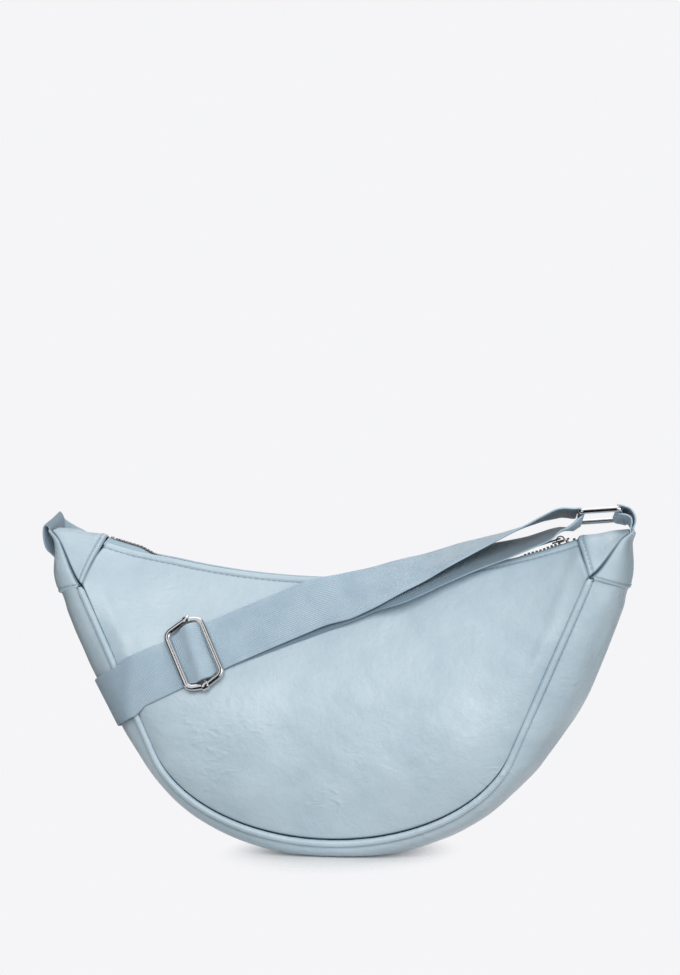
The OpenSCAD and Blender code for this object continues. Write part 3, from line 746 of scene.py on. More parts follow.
@dataclass(frozen=True)
class Webbing:
    """Woven polyester webbing with crosswise ribs and a selvedge.

    The weft shows as fine ribs across the band, 1 mm apart here because the real 0.6 mm would not
    show at this size. The yarn gives a silky sheen.
    """

    name: str = "woven polyester webbing"
    colour: str = "#A9C3D6"
    light: str = "#C2D8E6"
    # Colour of the reverse face, darker than the front and darkened further as painted shade; also painted as
    # shade where the strap wraps the bag's left side.
    reverse_and_shade: str = "#7F99AB"
    rib_mm: float = 1.0
    yarn_mm: float = 1.3
    edge_mm: float = 3.2
    half_mm: float = 17.5

    def waves(self, tree: Any, source: Any, size: float) -> Any:
        """Add a sine wave along one direction of the weave.

        Args:
            tree: The node tree.
            source: The socket that gives the distance, in mm.
            size: Length of a wave, in mm.

        Returns:
            The socket that gives the wave.
        """
        turn = add(tree, "ShaderNodeMath", {"operation": "MULTIPLY", 1: 2 * math.pi / size}, {0: source})
        return add(tree, "ShaderNodeMath", {"operation": "SINE"}, {0: turn.outputs[0]}).outputs[0]

    def build(self) -> Any:
        """Build the finish: ribs crossed by yarns, with a plain selvedge at each edge, and the darker reverse
        colour mixed in by the shade attribute, partly as painted shade.

        Returns:
            The material.
        """
        material, tree, shader = new_material(self.name, self.colour)
        uv = add(tree, "ShaderNodeUVMap", {"uv_map": "weave"}).outputs[0]
        parts = add(tree, "ShaderNodeSeparateXYZ", links={0: uv})
        along, across = parts.outputs[0], parts.outputs[1]
        rib = self.waves(tree, along, self.rib_mm)
        yarn = self.waves(tree, across, self.yarn_mm)
        weave = add(tree, "ShaderNodeMath", {"operation": "MULTIPLY"}, {0: rib, 1: yarn}).outputs[0]
        reach = add(tree, "ShaderNodeMath", {"operation": "ABSOLUTE"}, {0: across}).outputs[0]
        band = add(
            tree,
            "ShaderNodeMapRange",
            {"From Min": self.half_mm - self.edge_mm, "From Max": self.half_mm - self.edge_mm + 0.5},
            {"Value": reach},
        ).outputs[0]
        body = add(tree, "ShaderNodeMath", {"operation": "MULTIPLY_ADD", 1: 0.8}, {0: rib, 2: weave})
        parts = {0: band, 2: body.outputs[0], 3: weave}
        height = add(tree, "ShaderNodeMix", {"data_type": "FLOAT"}, parts).outputs[0]
        place = add(tree, "ShaderNodeTexCoord").outputs["Object"]
        cloud = add(tree, "ShaderNodeTexNoise", {"Scale": 60.0, "Detail": 4.0}, {"Vector": place})
        lift = add(
            tree,
            "ShaderNodeMath",
            {"operation": "MULTIPLY_ADD", 1: 0.3},
            {0: height, 2: cloud.outputs["Fac"]},
        )
        tone = add(
            tree,
            "ShaderNodeValToRGB",
            {"stops": [(0.25, linear(self.colour)), (0.75, linear(self.light))]},
            {"Fac": lift.outputs[0]},
        )
        # Reverse face and painted shade: mix towards the darker reverse colour as far as the shade attribute
        # says.
        back = add(tree, "ShaderNodeAttribute", {"attribute_name": "shade"})
        both = add(
            tree,
            "ShaderNodeMix",
            {"data_type": "RGBA", 7: linear(self.reverse_and_shade)},
            {0: back.outputs["Fac"], 6: tone.outputs[0]},
        )
        tree.links.new(both.outputs[2], shader.inputs["Base Color"])
        bump = add(tree, "ShaderNodeBump", {"Strength": 0.8, "Distance": 0.0003}, {"Height": height})
        tree.links.new(bump.outputs[0], shader.inputs["Normal"])
        shader.inputs["Roughness"].default_value = 0.48
        shader.inputs["Sheen Weight"].default_value = 0.25
        shader.inputs["Sheen Roughness"].default_value = 0.4
        return material


@dataclass(frozen=True)
class NickelPlate:
    """Nickel-plated steel wire or die-cast zinc, polished, with faint hairlines from handling."""

    name: str = "polished nickel plate"
    colour: str = "#D0D0D1"
    roughness: float = 0.05
    spread: float = 0.01

    def build(self) -> Any:
        """Build the finish.

        Returns:
            The material.
        """
        material, tree, shader = new_material(self.name, self.colour)
        place = add(tree, "ShaderNodeTexCoord").outputs["Object"]
        rub = add(tree, "ShaderNodeTexNoise", {"Scale": 400.0, "Detail": 3.0}, {"Vector": place})
        gloss = add(
            tree,
            "ShaderNodeMapRange",
            {"To Min": self.roughness - self.spread, "To Max": self.roughness + self.spread},
            {"Value": rub.outputs["Fac"]},
        )
        tree.links.new(gloss.outputs[0], shader.inputs["Roughness"])
        shader.inputs["Base Color"].default_value = linear(self.colour)
        shader.inputs["Metallic"].default_value = 1.0
        return material


@dataclass(frozen=True)
class PlainCloth:
    """Plain-woven polyester, for zip tape, thread and lining: matt, with a fine mottle."""

    name: str
    colour: str
    shade: str
    weave_mm: float = 0.9
    roughness: float = 0.75

    def build(self) -> Any:
        """Build the finish.

        Returns:
            The material.
        """
        material, tree, shader = new_material(self.name, self.colour)
        place = add(tree, "ShaderNodeTexCoord").outputs["Object"]
        fine = {"Scale": 1000 / self.weave_mm, "Detail": 2.0}
        weave = add(tree, "ShaderNodeTexNoise", fine, {"Vector": place})
        tone = add(
            tree,
            "ShaderNodeValToRGB",
            {"stops": [(0.3, linear(self.shade)), (0.7, linear(self.colour))]},
            {"Fac": weave.outputs["Fac"]},
        )
        tree.links.new(tone.outputs[0], shader.inputs["Base Color"])
        relief = {"Strength": 0.4, "Distance": 0.0002}
        bump = add(tree, "ShaderNodeBump", relief, {"Height": weave.outputs["Fac"]})
        tree.links.new(bump.outputs[0], shader.inputs["Normal"])
        shader.inputs["Roughness"].default_value = self.roughness
        return material


CAST = NickelPlate("nickel-plated die-cast zinc", "#8E8C8F", 0.2)
TAPE = PlainCloth("woven zip tape", "#A9BFCC", "#93ABBA")
# Thread darker than the leather, darkened as painted shade so the stitches read as dark dashes.
THREAD = PlainCloth("polyester thread", "#A2B9C7", "#89A2B1", 0.4, 0.5)
LINING = PlainCloth("polyester lining", "#B9BFC4", "#AAB1B7")


@dataclass
class Finishes:
    """The bag's materials, built once."""

    leather: Any = field(default_factory=lambda: FauxLeather().build())
    webbing: Any = field(default_factory=lambda: Webbing().build())
    nickel: Any = field(default_factory=lambda: NickelPlate().build())
    cast: Any = field(default_factory=lambda: CAST.build())
    tape: Any = field(default_factory=lambda: TAPE.build())
    thread: Any = field(default_factory=lambda: THREAD.build())
    lining: Any = field(default_factory=lambda: LINING.build())


def placed(name: str, mesh: Any) -> Any:
    """Put a mesh into the scene.

    Args:
        name: The object's name.
        mesh: Its mesh.

    Returns:
        The object.
    """
    piece = bpy.data.objects.new(name, mesh)
    bpy.context.collection.objects.link(piece)
    return piece


def make_object(
    name: str,
    verts: Array,
    faces: Sequence[Sequence[int]],
    material: Any,
    uvs: Optional[Array] = None,
    shade: Optional[Array] = None,
) -> Any:
    """Make a smooth mesh object at the origin.

    Args:
        name: The piece's name.
        verts: Its points in mm.
        faces: Its faces, counted anticlockwise from outside.
        material: Its material.
        uvs: One place on the weave for each point, in mm.
        shade: How much of the darker colour each point takes, from 0 to 1: painted shade along seams, hems
            and stitching, on inner faces, at the floor contact and where the strap wraps the side, and the
            webbing's darker reverse face, itself darkened as painted shade.

    Returns:
        The object.
    """
    mesh = bpy.data.meshes.new(name)
    mesh.from_pydata((np.asarray(verts) * MM).tolist(), [], [list(f) for f in faces])
    mesh.polygons.foreach_set("use_smooth", [True] * len(mesh.polygons))
    if uvs is not None:
        layer = mesh.uv_layers.new(name="weave")
        loops = np.empty(len(mesh.loops), int)
        mesh.loops.foreach_get("vertex_index", loops)
        layer.data.foreach_set("uv", np.asarray(uvs)[loops].astype(np.float32).ravel())
    if shade is not None:
        mark = mesh.attributes.new("shade", "FLOAT", "POINT")
        mark.data.foreach_set("value", np.asarray(shade, np.float32).ravel())
    mesh.materials.append(material)
    mesh.update()
    mesh.set_sharp_from_angle(angle=math.radians(50))
    return placed(name, mesh)


def dress(piece: Any, body: Body, nodes: Sequence[str] = ()) -> Any:
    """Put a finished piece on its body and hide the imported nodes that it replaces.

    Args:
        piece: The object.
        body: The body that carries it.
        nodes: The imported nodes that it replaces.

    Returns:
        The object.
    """
    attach(piece, body.value)
    if nodes:
        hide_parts(*nodes)
    LOG.info("%s: %d faces on %s", piece.name, len(piece.data.polygons), body.value)
    return piece


def grid_normals(grid: Array) -> Array:
    """Return the outward directions of a grid whose rows cross its columns anticlockwise."""
    return unit(np.cross(np.gradient(grid, axis=0), np.gradient(grid, axis=1)))


def sleeve(rows: int, sides: int) -> list[tuple[int, ...]]:
    """Join rows of points that each close on themselves.

    Args:
        rows: How many rows there are.
        sides: How many points each row has.

    Returns:
        The faces, by the points' numbers.
    """
    faces = []
    for i in range(rows - 1):
        for j in range(sides):
            k = (j + 1) % sides
            faces.append((i * sides + j, (i + 1) * sides + j, (i + 1) * sides + k, i * sides + k))
    return faces


def shell(grid: Array, thick: float) -> tuple[Array, list[tuple[int, ...]]]:
    """Give a grid of places a thickness on its inner side, with its two long edges rounded.

    Args:
        grid: Places on the outside, in mm.
        thick: Thickness in mm.

    Returns:
        The points and faces of a closed sheet.
    """
    normals = grid_normals(grid)
    inner = grid - normals * thick
    turns = [math.radians(turn) for turn in (45, 90, 135)]
    rings = [grid]
    way = unit(grid[:, -1] - grid[:, -2])
    for a in turns:
        rim = way * math.sin(a) - normals[:, -1] * (1 - math.cos(a))
        rings.append((grid[:, -1] + thick / 2 * rim)[:, None])
    rings.append(inner[:, ::-1])
    way = unit(grid[:, 0] - grid[:, 1])
    for a in turns:
        rim = way * math.sin(a) + normals[:, 0] * (1 - math.cos(a))
        rings.append((inner[:, 0] + thick / 2 * rim)[:, None])
    loops = np.concatenate(rings, axis=1)
    n, m = loops.shape[:2]
    faces = sleeve(n, m)
    half, edge = grid.shape[1], len(turns)
    for i, flip in ((0, False), (n - 1, True)):
        ring = [i * m + j for j in range(m)]
        top = ring[:half]
        back = ring[half + edge : 2 * half + edge][::-1]
        caps = [(top[j], top[j + 1], back[j + 1], back[j]) for j in range(half - 1)]
        caps.append((top[-1], *ring[half : half + edge], back[-1]))
        caps.append((back[0], *ring[2 * half + edge :], top[0]))
        faces += [c[::-1] for c in caps] if flip else caps
    return loops.reshape(-1, 3), faces


def sheet_piece(
    name: str,
    grid: Array,
    thick: float,
    material: Any,
    mirrored: Optional[str] = None,
    shade: Optional[Array] = None,
    inside: float = 1.0,
) -> Any:
    """Make a sheet from a grid, or its mirror image.

    Args:
        name: The piece's name.
        grid: Places on the outside, in mm.
        thick: Thickness in mm.
        material: Its material.
        mirrored: The axis it is mirrored along, "x" or "y".
        shade: How much painted shade each place carries, from 0 to 1, such as the dark lines along seams.
        inside: The painted shade on the inner side next to the last column; the rest of the inner side is
            painted fully dark as shade.

    Returns:
        The object.
    """
    verts, faces = shell(grid, thick)
    full = None
    if shade is not None:
        # Painted shade: the rounded edges and the inner side are painted fully dark, except the stretch next
        # to the last column, which takes inside.
        full = np.ones((len(grid), len(verts) // len(grid)))
        full[:, : grid.shape[1]] = np.clip(shade, 0, 1)
        full[:, grid.shape[1] : 3 * grid.shape[1] // 2] = inside
    if mirrored:
        verts = verts * np.array([-1 if mirrored == "x" else 1, -1 if mirrored == "y" else 1, 1])
        faces = [f[::-1] for f in faces]
    return make_object(name, verts, faces, material, shade=full)


def tube(name: str, points: Array, radius: Any, material: Any, closed: bool = False, sides: int = 16) -> Any:
    """Sweep a round wire along points.

    Args:
        name: The piece's name.
        points: The centre line, in mm.
        radius: One radius, or one for each point.
        material: Its material.
        closed: Whether the wire closes on itself.
        sides: Points round the wire.

    Returns:
        The object.
    """
    n = len(points)
    radii = np.broadcast_to(np.asarray(radius, float), (n,))
    if closed:
        ways = unit(np.roll(points, -1, axis=0) - np.roll(points, 1, axis=0))
    else:
        ways = unit(np.gradient(points, axis=0))
    side = np.cross(ways[0], [0.0, 0.0, 1.0])
    if np.linalg.norm(side) < 0.1:
        side = np.cross(ways[0], [0.0, 1.0, 0.0])
    sides_at = []
    for way in ways:
        side = side - way * (side @ way)
        side = side / np.linalg.norm(side)
        sides_at.append(side)
    a = np.linspace(0, 2 * math.pi, sides, endpoint=False)
    across = np.array(sides_at)
    over = np.cross(ways, across)
    circles = across[:, None] * np.cos(a)[:, None] + over[:, None] * np.sin(a)[:, None]
    rings = points[:, None] + radii[:, None, None] * circles
    count = n if closed else n - 1
    shift = 0
    if closed:
        start = (rings[0, 0] - points[0]) @ np.stack([across[-1], over[-1]], axis=1)
        shift = int(round(math.atan2(start[1], start[0]) / (2 * math.pi / sides)))
    faces = []
    for i in range(count):
        k = (i + 1) % n
        extra = -shift if k == 0 else 0
        for j in range(sides):
            p, q = i * sides + j, i * sides + (j + 1) % sides
            r, s = k * sides + (j + 1 + extra) % sides, k * sides + (j + extra) % sides
            faces.append((p, q, r, s))
    if not closed:
        faces.append(tuple(range(sides))[::-1])
        faces.append(tuple((n - 1) * sides + j for j in range(sides)))
    return make_object(name, rings.reshape(-1, 3), faces, material)


def bend_corners(corners: Array, radii: Sequence[float], closed: bool, steps: int = 7) -> Array:
    """Round the corners of a line of points.

    Args:
        corners: The corner points, in mm.
        radii: Radius of each bend.
        closed: Whether the line closes on itself.
        steps: Points along each bend.

    Returns:
        The rounded line.
    """
    n = len(corners)
    out = []
    for i in range(n):
        if not closed and i in (0, n - 1):
            out.append(corners[i])
            continue
        p, radius = corners[i], radii[i]
        back, on = unit(corners[i - 1] - p), unit(corners[(i + 1) % n] - p)
        half = math.acos(float(np.clip(back @ on, -1, 1))) / 2
        hub = p + unit(back + on) * radius / math.sin(half)
        first, last = p + back * radius / math.tan(half), p + on * radius / math.tan(half)
        u, w = unit(first - hub), unit(last - hub)
        turn = math.acos(float(np.clip(u @ w, -1, 1)))
        for k in range(steps):
            s = k / (steps - 1)
            way = (u * math.sin((1 - s) * turn) + w * math.sin(s * turn)) / math.sin(turn)
            out.append(hub + radius * way)
    return np.array(out)


@dataclass
class Repeat:
    """Copies of one small shape set along lines, made by Geometry Nodes."""

    name: str
    pitch: float
    scatter: float = 0.0
    seed: int = 3

    def tree(self) -> tuple[Any, dict[str, str]]:
        """Build the node group.

        Returns:
            The group, and the identifier of each of its named inputs.
        """
        group = bpy.data.node_groups.new(self.name, "GeometryNodeTree")
        names = {}
        for label, kind in (
            ("Geometry", "NodeSocketGeometry"),
            ("Shape", "NodeSocketObject"),
            ("Pitch", "NodeSocketFloat"),
            ("Scatter", "NodeSocketFloat"),
            ("Seed", "NodeSocketInt"),
            ("Finish", "NodeSocketMaterial"),
        ):
            socket = group.interface.new_socket(name=label, in_out="INPUT", socket_type=kind)
            names[label] = socket.identifier
        group.interface.new_socket(name="Geometry", in_out="OUTPUT", socket_type="NodeSocketGeometry")
        given = add(group, "NodeGroupInput").outputs
        line = add(group, "GeometryNodeMeshToCurve", links={0: given["Geometry"]})
        spaced = add(
            group,
            "GeometryNodeResampleCurve",
            {"mode": "LENGTH"},
            {"Curve": line.outputs[0], "Length": given["Pitch"]},
        )
        tangent = add(group, "GeometryNodeInputTangent")
        face = add(
            group,
            "GeometryNodeInputNamedAttribute",
            {"data_type": "FLOAT_VECTOR", "Name": "face"},
        )
        turn = add(
            group,
            "FunctionNodeAxesToRotation",
            {"primary_axis": "X", "secondary_axis": "Z"},
            {0: tangent.outputs[0], 1: face.outputs[0]},
        )
        low = add(group, "ShaderNodeMath", {"operation": "SUBTRACT", 0: 1.0}, {1: given["Scatter"]})
        high = add(group, "ShaderNodeMath", {"operation": "ADD", 0: 1.0}, {1: given["Scatter"]})
        size = add(
            group,
            "FunctionNodeRandomValue",
            {"data_type": "FLOAT"},
            {"Min": low.outputs[0], "Max": high.outputs[0], "Seed": given["Seed"]},
        )
        shape = add(group, "GeometryNodeObjectInfo", links={"Object": given["Shape"]})
        copies = add(
            group,
            "GeometryNodeInstanceOnPoints",
            links={
                "Points": spaced.outputs[0],
                "Instance": shape.outputs["Geometry"],
                "Rotation": turn.outputs[0],
                "Scale": size.outputs["Value"],
            },
        )
        solid = add(group, "GeometryNodeRealizeInstances", links={0: copies.outputs[0]})
        done = add(
            group,
            "GeometryNodeSetMaterial",
            links={"Geometry": solid.outputs[0], "Material": given["Finish"]},
        )
        add(group, "NodeGroupOutput", links={0: done.outputs[0]})
        return group, names

    def build(self, lines: Sequence[tuple[Array, Array]], shape: Any, material: Any) -> Any:
        """Set the shape along lines.

        Args:
            lines: Pairs of places and face directions, in mm.
            shape: The small object to repeat.
            material: Its material.

        Returns:
            The finished mesh object.
        """
        verts, faces_out, edges = [], [], []
        for points, outs in lines:
            base = len(verts)
            verts += (points * MM).tolist()
            faces_out += np.broadcast_to(outs, points.shape).tolist()
            edges += [(base + i, base + i + 1) for i in range(len(points) - 1)]
        mesh = bpy.data.meshes.new(self.name + "_lines")
        mesh.from_pydata(verts, edges, [])
        attribute = mesh.attributes.new("face", "FLOAT_VECTOR", "POINT")
        attribute.data.foreach_set("vector", np.array(faces_out, np.float32).ravel())
        holder = placed(self.name + "_lines", mesh)
        group, names = self.tree()
        modifier = holder.modifiers.new("repeat", "NODES")
        modifier.node_group = group
        values = {
            "Shape": shape,
            "Pitch": self.pitch * MM,
            "Scatter": self.scatter,
            "Seed": self.seed,
            "Finish": material,
        }
        for label, value in values.items():
            modifier[names[label]] = value
        bpy.context.view_layer.update()
        evaluated = holder.evaluated_get(bpy.context.evaluated_depsgraph_get())
        result = bpy.data.meshes.new_from_object(evaluated)
        result.name = self.name
        for old in list(result.attributes):
            if old.name == "face":
                result.attributes.remove(old)
        result.polygons.foreach_set("use_smooth", [True] * len(result.polygons))
        if not result.materials:
            result.materials.append(material)
        bpy.data.objects.remove(holder)
        bpy.data.objects.remove(shape)
        return placed(self.name, result)


def stitch_shape(length: float, radius: float) -> Any:
    """Make a small plump stitch that lies along x.

    Args:
        length: Its length in mm.
        radius: Half its width in mm.

    Returns:
        The object.
    """
    build = bmesh.new()
    bmesh.ops.create_uvsphere(build, u_segments=8, v_segments=5, radius=1.0)
    for v in build.verts:
        x, y, z = v.co
        v.co = (z * length / 2 * MM, x * radius * MM, y * radius * MM)
    bmesh.ops.recalc_face_normals(build, faces=build.faces)
    mesh = bpy.data.meshes.new("stitch")
    build.to_mesh(mesh)
    build.free()
    return placed("stitch", mesh)


@dataclass
class BagShell:
    """The soft sheets of the bag: panels, gusset, patches and lining."""

    finishes: Finishes
    thick: float = 1.4
    patch_thick: float = 1.3
    hem: float = 3.4
    lap: float = 1.5
    hem_rise: float = -0.4
    hem_drop: float = 2.2
    strip: float = 4.0
    seam_l: float = 277.0
    end_rise: float = 3.6
    left_rise: float = 1.6
    end_swell: tuple[float, float] = (2.4, 0.5)
    end_out: tuple[float, float] = (0.4, 0.9)
    top_in: tuple[float, float] = (1.2, 2.0)
    end_l: float = 42.0
    strap_press: float = 1.8
    strap_at: float = -0.705
    lining_gap: float = 0.5
    lining_thick: float = 0.5
    seam_dent: Line = Line(-1.5, 1.5, 0.3)
    side_dent: Line = Line(-1.3, 1.2)
    hem_roll: Line = Line(0.35, 1.3, 1.4)
    hem_dent: Line = Line(-0.35, 0.8)
    low_roll: Line = Line(0.8, 9.0, 20.0)
    wide_dents: Ripples = Ripples(0.55, (70, 60, 55), 5)
    small_dents: Ripples = Ripples(0.18, (26, 26, 22), 8)
    seam_pucker: Ripples = Ripples(0.25, (16, 30, 16), 11)
    mouth_pucker: Ripples = Ripples(0.22, (22, 30, 40), 12)
    gusset_seam: Line = Line(-1.6, 2.2)
    gusset_folds: Ripples = Ripples(0.9, (150, 34, 400), 21)
    gusset_creases: Ripples = Ripples(0.35, (60, 17, 300), 22)
    gusset_dents: Ripples = Ripples(0.12, (22, 22, 22), 23)
    corner_seam: Line = Line(-1.5, 1.1)
    corner_side: Line = Line(-1.9, 1.3)
    strip_dent: Line = Line(-0.45, 0.8)
    corner_dents: Ripples = Ripples(0.35, (14, 30, 40), 31)
    end_side: Line = Line(-1.7, 1.4)
    end_hem_dent: Line = Line(-0.4, 0.8, 3.2)
    end_hem_edge: Line = Line(-0.8, 0.7)
    end_dents: Ripples = Ripples(0.5, (60, 18, 50), 33)
    cord_r: float = 2.3
    cord_dents: Ripples = Ripples(0.06, (9, 9, 9), 41)
    stitch_gap: float = 4.1
    stitch_l: float = 3.0
    stitch_r: float = 0.42

    def to_side(self, t: Array, v: Array) -> Array:
        """Return how far each place of the front panel lies from the nearer corner patch."""
        return np.linalg.norm(FORM.panel(np.sign(t) * 1.0, v) - FORM.panel(t, v), axis=-1)

    def panel_places(self, t: Array, v: Array) -> Array:
        """Work out the front panel with its seams, hem and soft dents.

        Args:
            t: Places along the seam, one for each row.
            v: Places from seam to mouth, by row and column.

        Returns:
            The grid of places, in mm.
        """
        ruling = FORM.ruling(t)
        grid = FORM.panel(t, v)
        from_seam = v * ruling
        from_mouth = (1 - v) * ruling
        calm = ramp(4, 30, from_seam) * ramp(3, 22, from_mouth)
        near_seam = bell(from_seam, 14) * ramp(1.5, 5, from_seam)
        near_mouth = bell(from_mouth, 12) * ramp(1.5, 4, from_mouth)
        dent = self.seam_dent.over(from_seam) + self.side_dent.over(self.to_side(t, v))
        dent += self.hem_roll.over(from_mouth) + self.hem_dent.over(from_mouth - self.hem)
        dent += calm * (self.wide_dents.over(grid) + self.small_dents.over(grid))
        dent += near_seam * self.seam_pucker.over(grid) + near_mouth * self.mouth_pucker.over(grid)
        dent += self.low_roll.over(from_seam) * ramp(0.5, 0.75, np.abs(t))
        grid = grid + grid_normals(grid) * dent[..., None]
        x = grid[..., 0]
        lift = self.hem_rise * ramp(-150, -100, x) * ramp(150, 100, x)
        lift = lift - self.hem_drop * ramp(-108, -150, x)
        grid[..., 2] += lift * ramp(14, 0, from_mouth)
        return grid

    def panels(self) -> None:
        """Make the front and the back panel."""
        t = np.linspace(-0.9975, 0.9975, 260)[:, None]
        v = stretches((0.0, 0.015, 0.08, 0.95, 1.0), (7, 12, 66, 20))
        v = mix(0.5 / FORM.ruling(t), 1.0, v[None])
        grid = self.panel_places(t, v)
        ruling = FORM.ruling(t)
        # Painted shade: dark lines in the groove beside the piping, along the corner patches and along the
        # hem's stitching; the inner face by the mouth takes 0.15 of it.
        shade = Line(1.1, 1.0, 1.6).over(v * ruling) + Line(0.8, 1.0).over(self.to_side(t, v))
        shade = shade + Line(0.4, 0.6, self.hem).over((1 - v) * ruling)
        for side, node in ((None, "front_panel"), ("y", "back_panel")):
            piece = sheet_piece(node + "_skin", grid, self.thick, self.finishes.leather, side, shade, 0.15)
            dress(piece, Body.BAG, [node])

    def gusset_places(self, t: Array, w: Array) -> tuple[Array, Array]:
        """Work out the gusset with its long soft folds.

        Args:
            t: Places along the seam, one for each row.
            w: Places across, from 1 at the back to -1 at the front.

        Returns:
            The grid of places in mm, and each one's distance from the nearer seam.
        """
        rise = np.where(t < 0, self.end_rise + self.left_rise, self.end_rise)
        t = t + np.sign(t) * rise / self.seam_l * (1 - w**2) * ramp(0.9, 1, np.abs(t))
        grid = FORM.gusset(t, w, 1.2)
        edge = (1 - np.abs(w)) * 60
        side = ramp(0.35, 0.7, np.abs(t)) * (1 - 0.3 * ramp(0.9, 1, np.abs(t)))
        along = np.concatenate([(t * 360)[..., None], grid[..., 1:2], grid[..., 2:3] * 0.2], -1)
        folds = self.gusset_folds.over(along) + self.gusset_creases.over(along)
        dent = self.gusset_seam.over(edge)
        dent = dent - np.where(t < 0, *self.top_in) * ramp(0.955, 1.0, np.abs(t)) * (1 - w**4)
        dent = dent - self.strap_press * bell((t - self.strap_at) * self.seam_l, 17) * (1 - np.abs(w) ** 3)
        dent = dent + side * ramp(1, 12, edge) * folds
        dent = dent + ramp(2, 10, edge) * self.gusset_dents.over(grid)
        moved = grid + grid_normals(grid) * dent[..., None]
        moved[..., 2] = np.where(grid[..., 2] < 0.5, grid[..., 2], np.maximum(moved[..., 2], 0.1))
        return moved, edge

    def gusset(self) -> None:
        """Make the gusset."""
        t = np.linspace(-0.999, 0.999, 300)[:, None]
        w = np.sin(np.linspace(-1, 1, 71) * math.pi / 2)[None, ::-1]
        moved, edge = self.gusset_places(t, w)
        # Painted shade: a dark line beside each piping seam, and a painted contact shadow along the bottom
        # where it meets the floor.
        shade = Line(0.45, 1.8).over(edge) + 0.85 * ramp(1.6, 0.2, moved[..., 2])
        piece = sheet_piece("gusset_skin", moved, self.thick, self.finishes.leather, None, shade)
        dress(piece, Body.BAG, ["gusset"])

    def corners(self) -> None:
        """Make the two corner patches, folded over the zip's ends."""
        a = mix(0.004, 0.99, stretches((0.0, 0.25, 1.0), (22, 34))[:, None])
        half = stretches((0.0, 0.12, 1.0, 2.0), (10, 26, 15))
        b = np.concatenate([half, 4 - half[-2::-1]])[None]
        for form, side, node in ((FORM, None, "right_corner"), (FORM.mirrored(), "x", "left_corner")):
            rim = 0.9 / np.linalg.norm(form.patch(a, 1.0) - form.patch(a, 0.0), axis=-1)
            q = 2 + (b - 2) * (1 - rim / 2)
            grid = form.patch(a, q)
            low = np.minimum(q, 4 - q)
            from_diagonal = np.linalg.norm(grid - form.patch(0 * a, q), axis=-1)
            from_side = np.linalg.norm(grid - form.patch(a, np.where(q < 2, 0.0, 4.0)), axis=-1)
            calm = ramp(1, 8, from_side) * ramp(2, 10, from_diagonal)
            dent = self.corner_seam.over(from_diagonal) + self.corner_side.over(from_side) * ramp(2, 1.5, low)
            dent += self.strip_dent.over(from_diagonal - self.strip) * ramp(1.3, 1.0, low)
            dent += calm * self.corner_dents.over(grid)
            # Painted shade: a faint even darkening of the whole patch where it faces the light, dark lines
            # along its seams and along the strip's stitching.
            shade = 0.04 + Line(0.8, 0.8).over(from_diagonal)
            shade += Line(0.9, 0.9, 0.9).over(from_side) * ramp(2, 1.5, low)
            shade += Line(0.35, 0.6, self.strip).over(from_diagonal) * ramp(1.95, 1.7, low)
            grid = form.twisted(grid + grid_normals(grid) * dent[..., None])
            piece = sheet_piece(node + "_skin", grid, self.patch_thick, self.finishes.leather, side, shade)
            dress(piece, Body.BAG, [node])

    def end_hem(self, w: Array, more: float = 0.0) -> Array:
        """Return where an end patch's lower hem lies, higher round the side."""
        return (self.end_rise + more) / self.end_l * (1 - w**2) - self.lap / self.seam_l

    def ends(self) -> None:
        """Make the two end patches with their turned lower hems."""
        w = np.sin(np.linspace(-1, 1, 61) * math.pi / 2)[None, ::-1]
        up = stretches((0.0, 0.25, 1.0), (27, 34))[:, None]
        for form, side, node in ((FORM, None, "right_end"), (FORM.mirrored(), "x", "left_end")):
            left = side == "x"
            low = self.end_hem(w, self.left_rise * left)
            a = mix(low, 1.0, up)
            grid = form.end(a, w)
            edge = (1 - np.abs(w)) * 45
            from_hem = (np.minimum(a, 0) - np.minimum(low, 0)) * self.seam_l
            from_hem = from_hem + (np.maximum(a, 0) - np.maximum(low, 0)) * self.end_l
            belly = Line(self.end_swell[not left], 0.2, 0.42).over(a) * (1 - w**4) * ramp(0.6, 0.1, w)
            dent = self.end_out[not left] * (1 - ramp(0.05, 0.4, a)) + belly
            dent = dent + self.end_side.over(edge) * ramp(0.0, 0.1, a)
            dent = dent + self.end_hem_dent.over(from_hem) + self.end_hem_edge.over(from_hem)
            dent = dent + ramp(1, 10, edge) * ramp(4, 12, from_hem) * self.end_dents.over(grid)
            # Painted shade: the right end patch darkened all over, dark lines along its side seams and along
            # its hem's stitching.
            shade = 0.16 * (not left) + Line(0.8, 0.9).over(edge) * ramp(0.0, 0.05, a)
            shade = shade + Line(0.35, 0.6, 3.2).over(from_hem)
            grid = form.twisted(grid + grid_normals(grid) * dent[..., None])
            piece = sheet_piece(node + "_skin", grid, self.patch_thick, self.finishes.leather, side, shade)
            dress(piece, Body.BAG, [node])

    def piping(self) -> None:
        """Make the piping along the front and back seams."""
        t = np.linspace(-0.997, 0.997, 420)
        line = FORM.piping(t)
        radius = self.cord_r + self.cord_dents.over(line)
        radius = radius * mix(1.0, 0.6, ramp(0.986, 0.997, np.abs(t)))
        for node, places in (("front_piping", line), ("back_piping", line * np.array([1, -1, 1]))):
            cord = tube(node + "_cord", places, radius, self.finishes.leather, sides=18)
            dress(cord, Body.BAG, [node])

    def lining(self) -> None:
        """Hang the lining inside the panels and the gusset, clear of their seams."""
        t = np.linspace(-0.95, 0.95, 90)[:, None]
        ruling = FORM.ruling(t)
        panel = self.panel_places(t, mix(8.0 / ruling, 1 - 6.0 / ruling, np.linspace(0, 1, 30)[None]))
        gusset, _ = self.gusset_places(t, np.linspace(0.86, -0.86, 30)[None])
        pieces = (("front_lining", panel, None), ("back_lining", panel, "y"), ("gusset_lining", gusset, None))
        for node, grid, side in pieces:
            inner = grid - grid_normals(grid) * (self.thick + self.lining_gap)
            piece = sheet_piece(node + "_cloth", inner, self.lining_thick, self.finishes.lining, side)
            dress(piece, Body.BAG, [node])

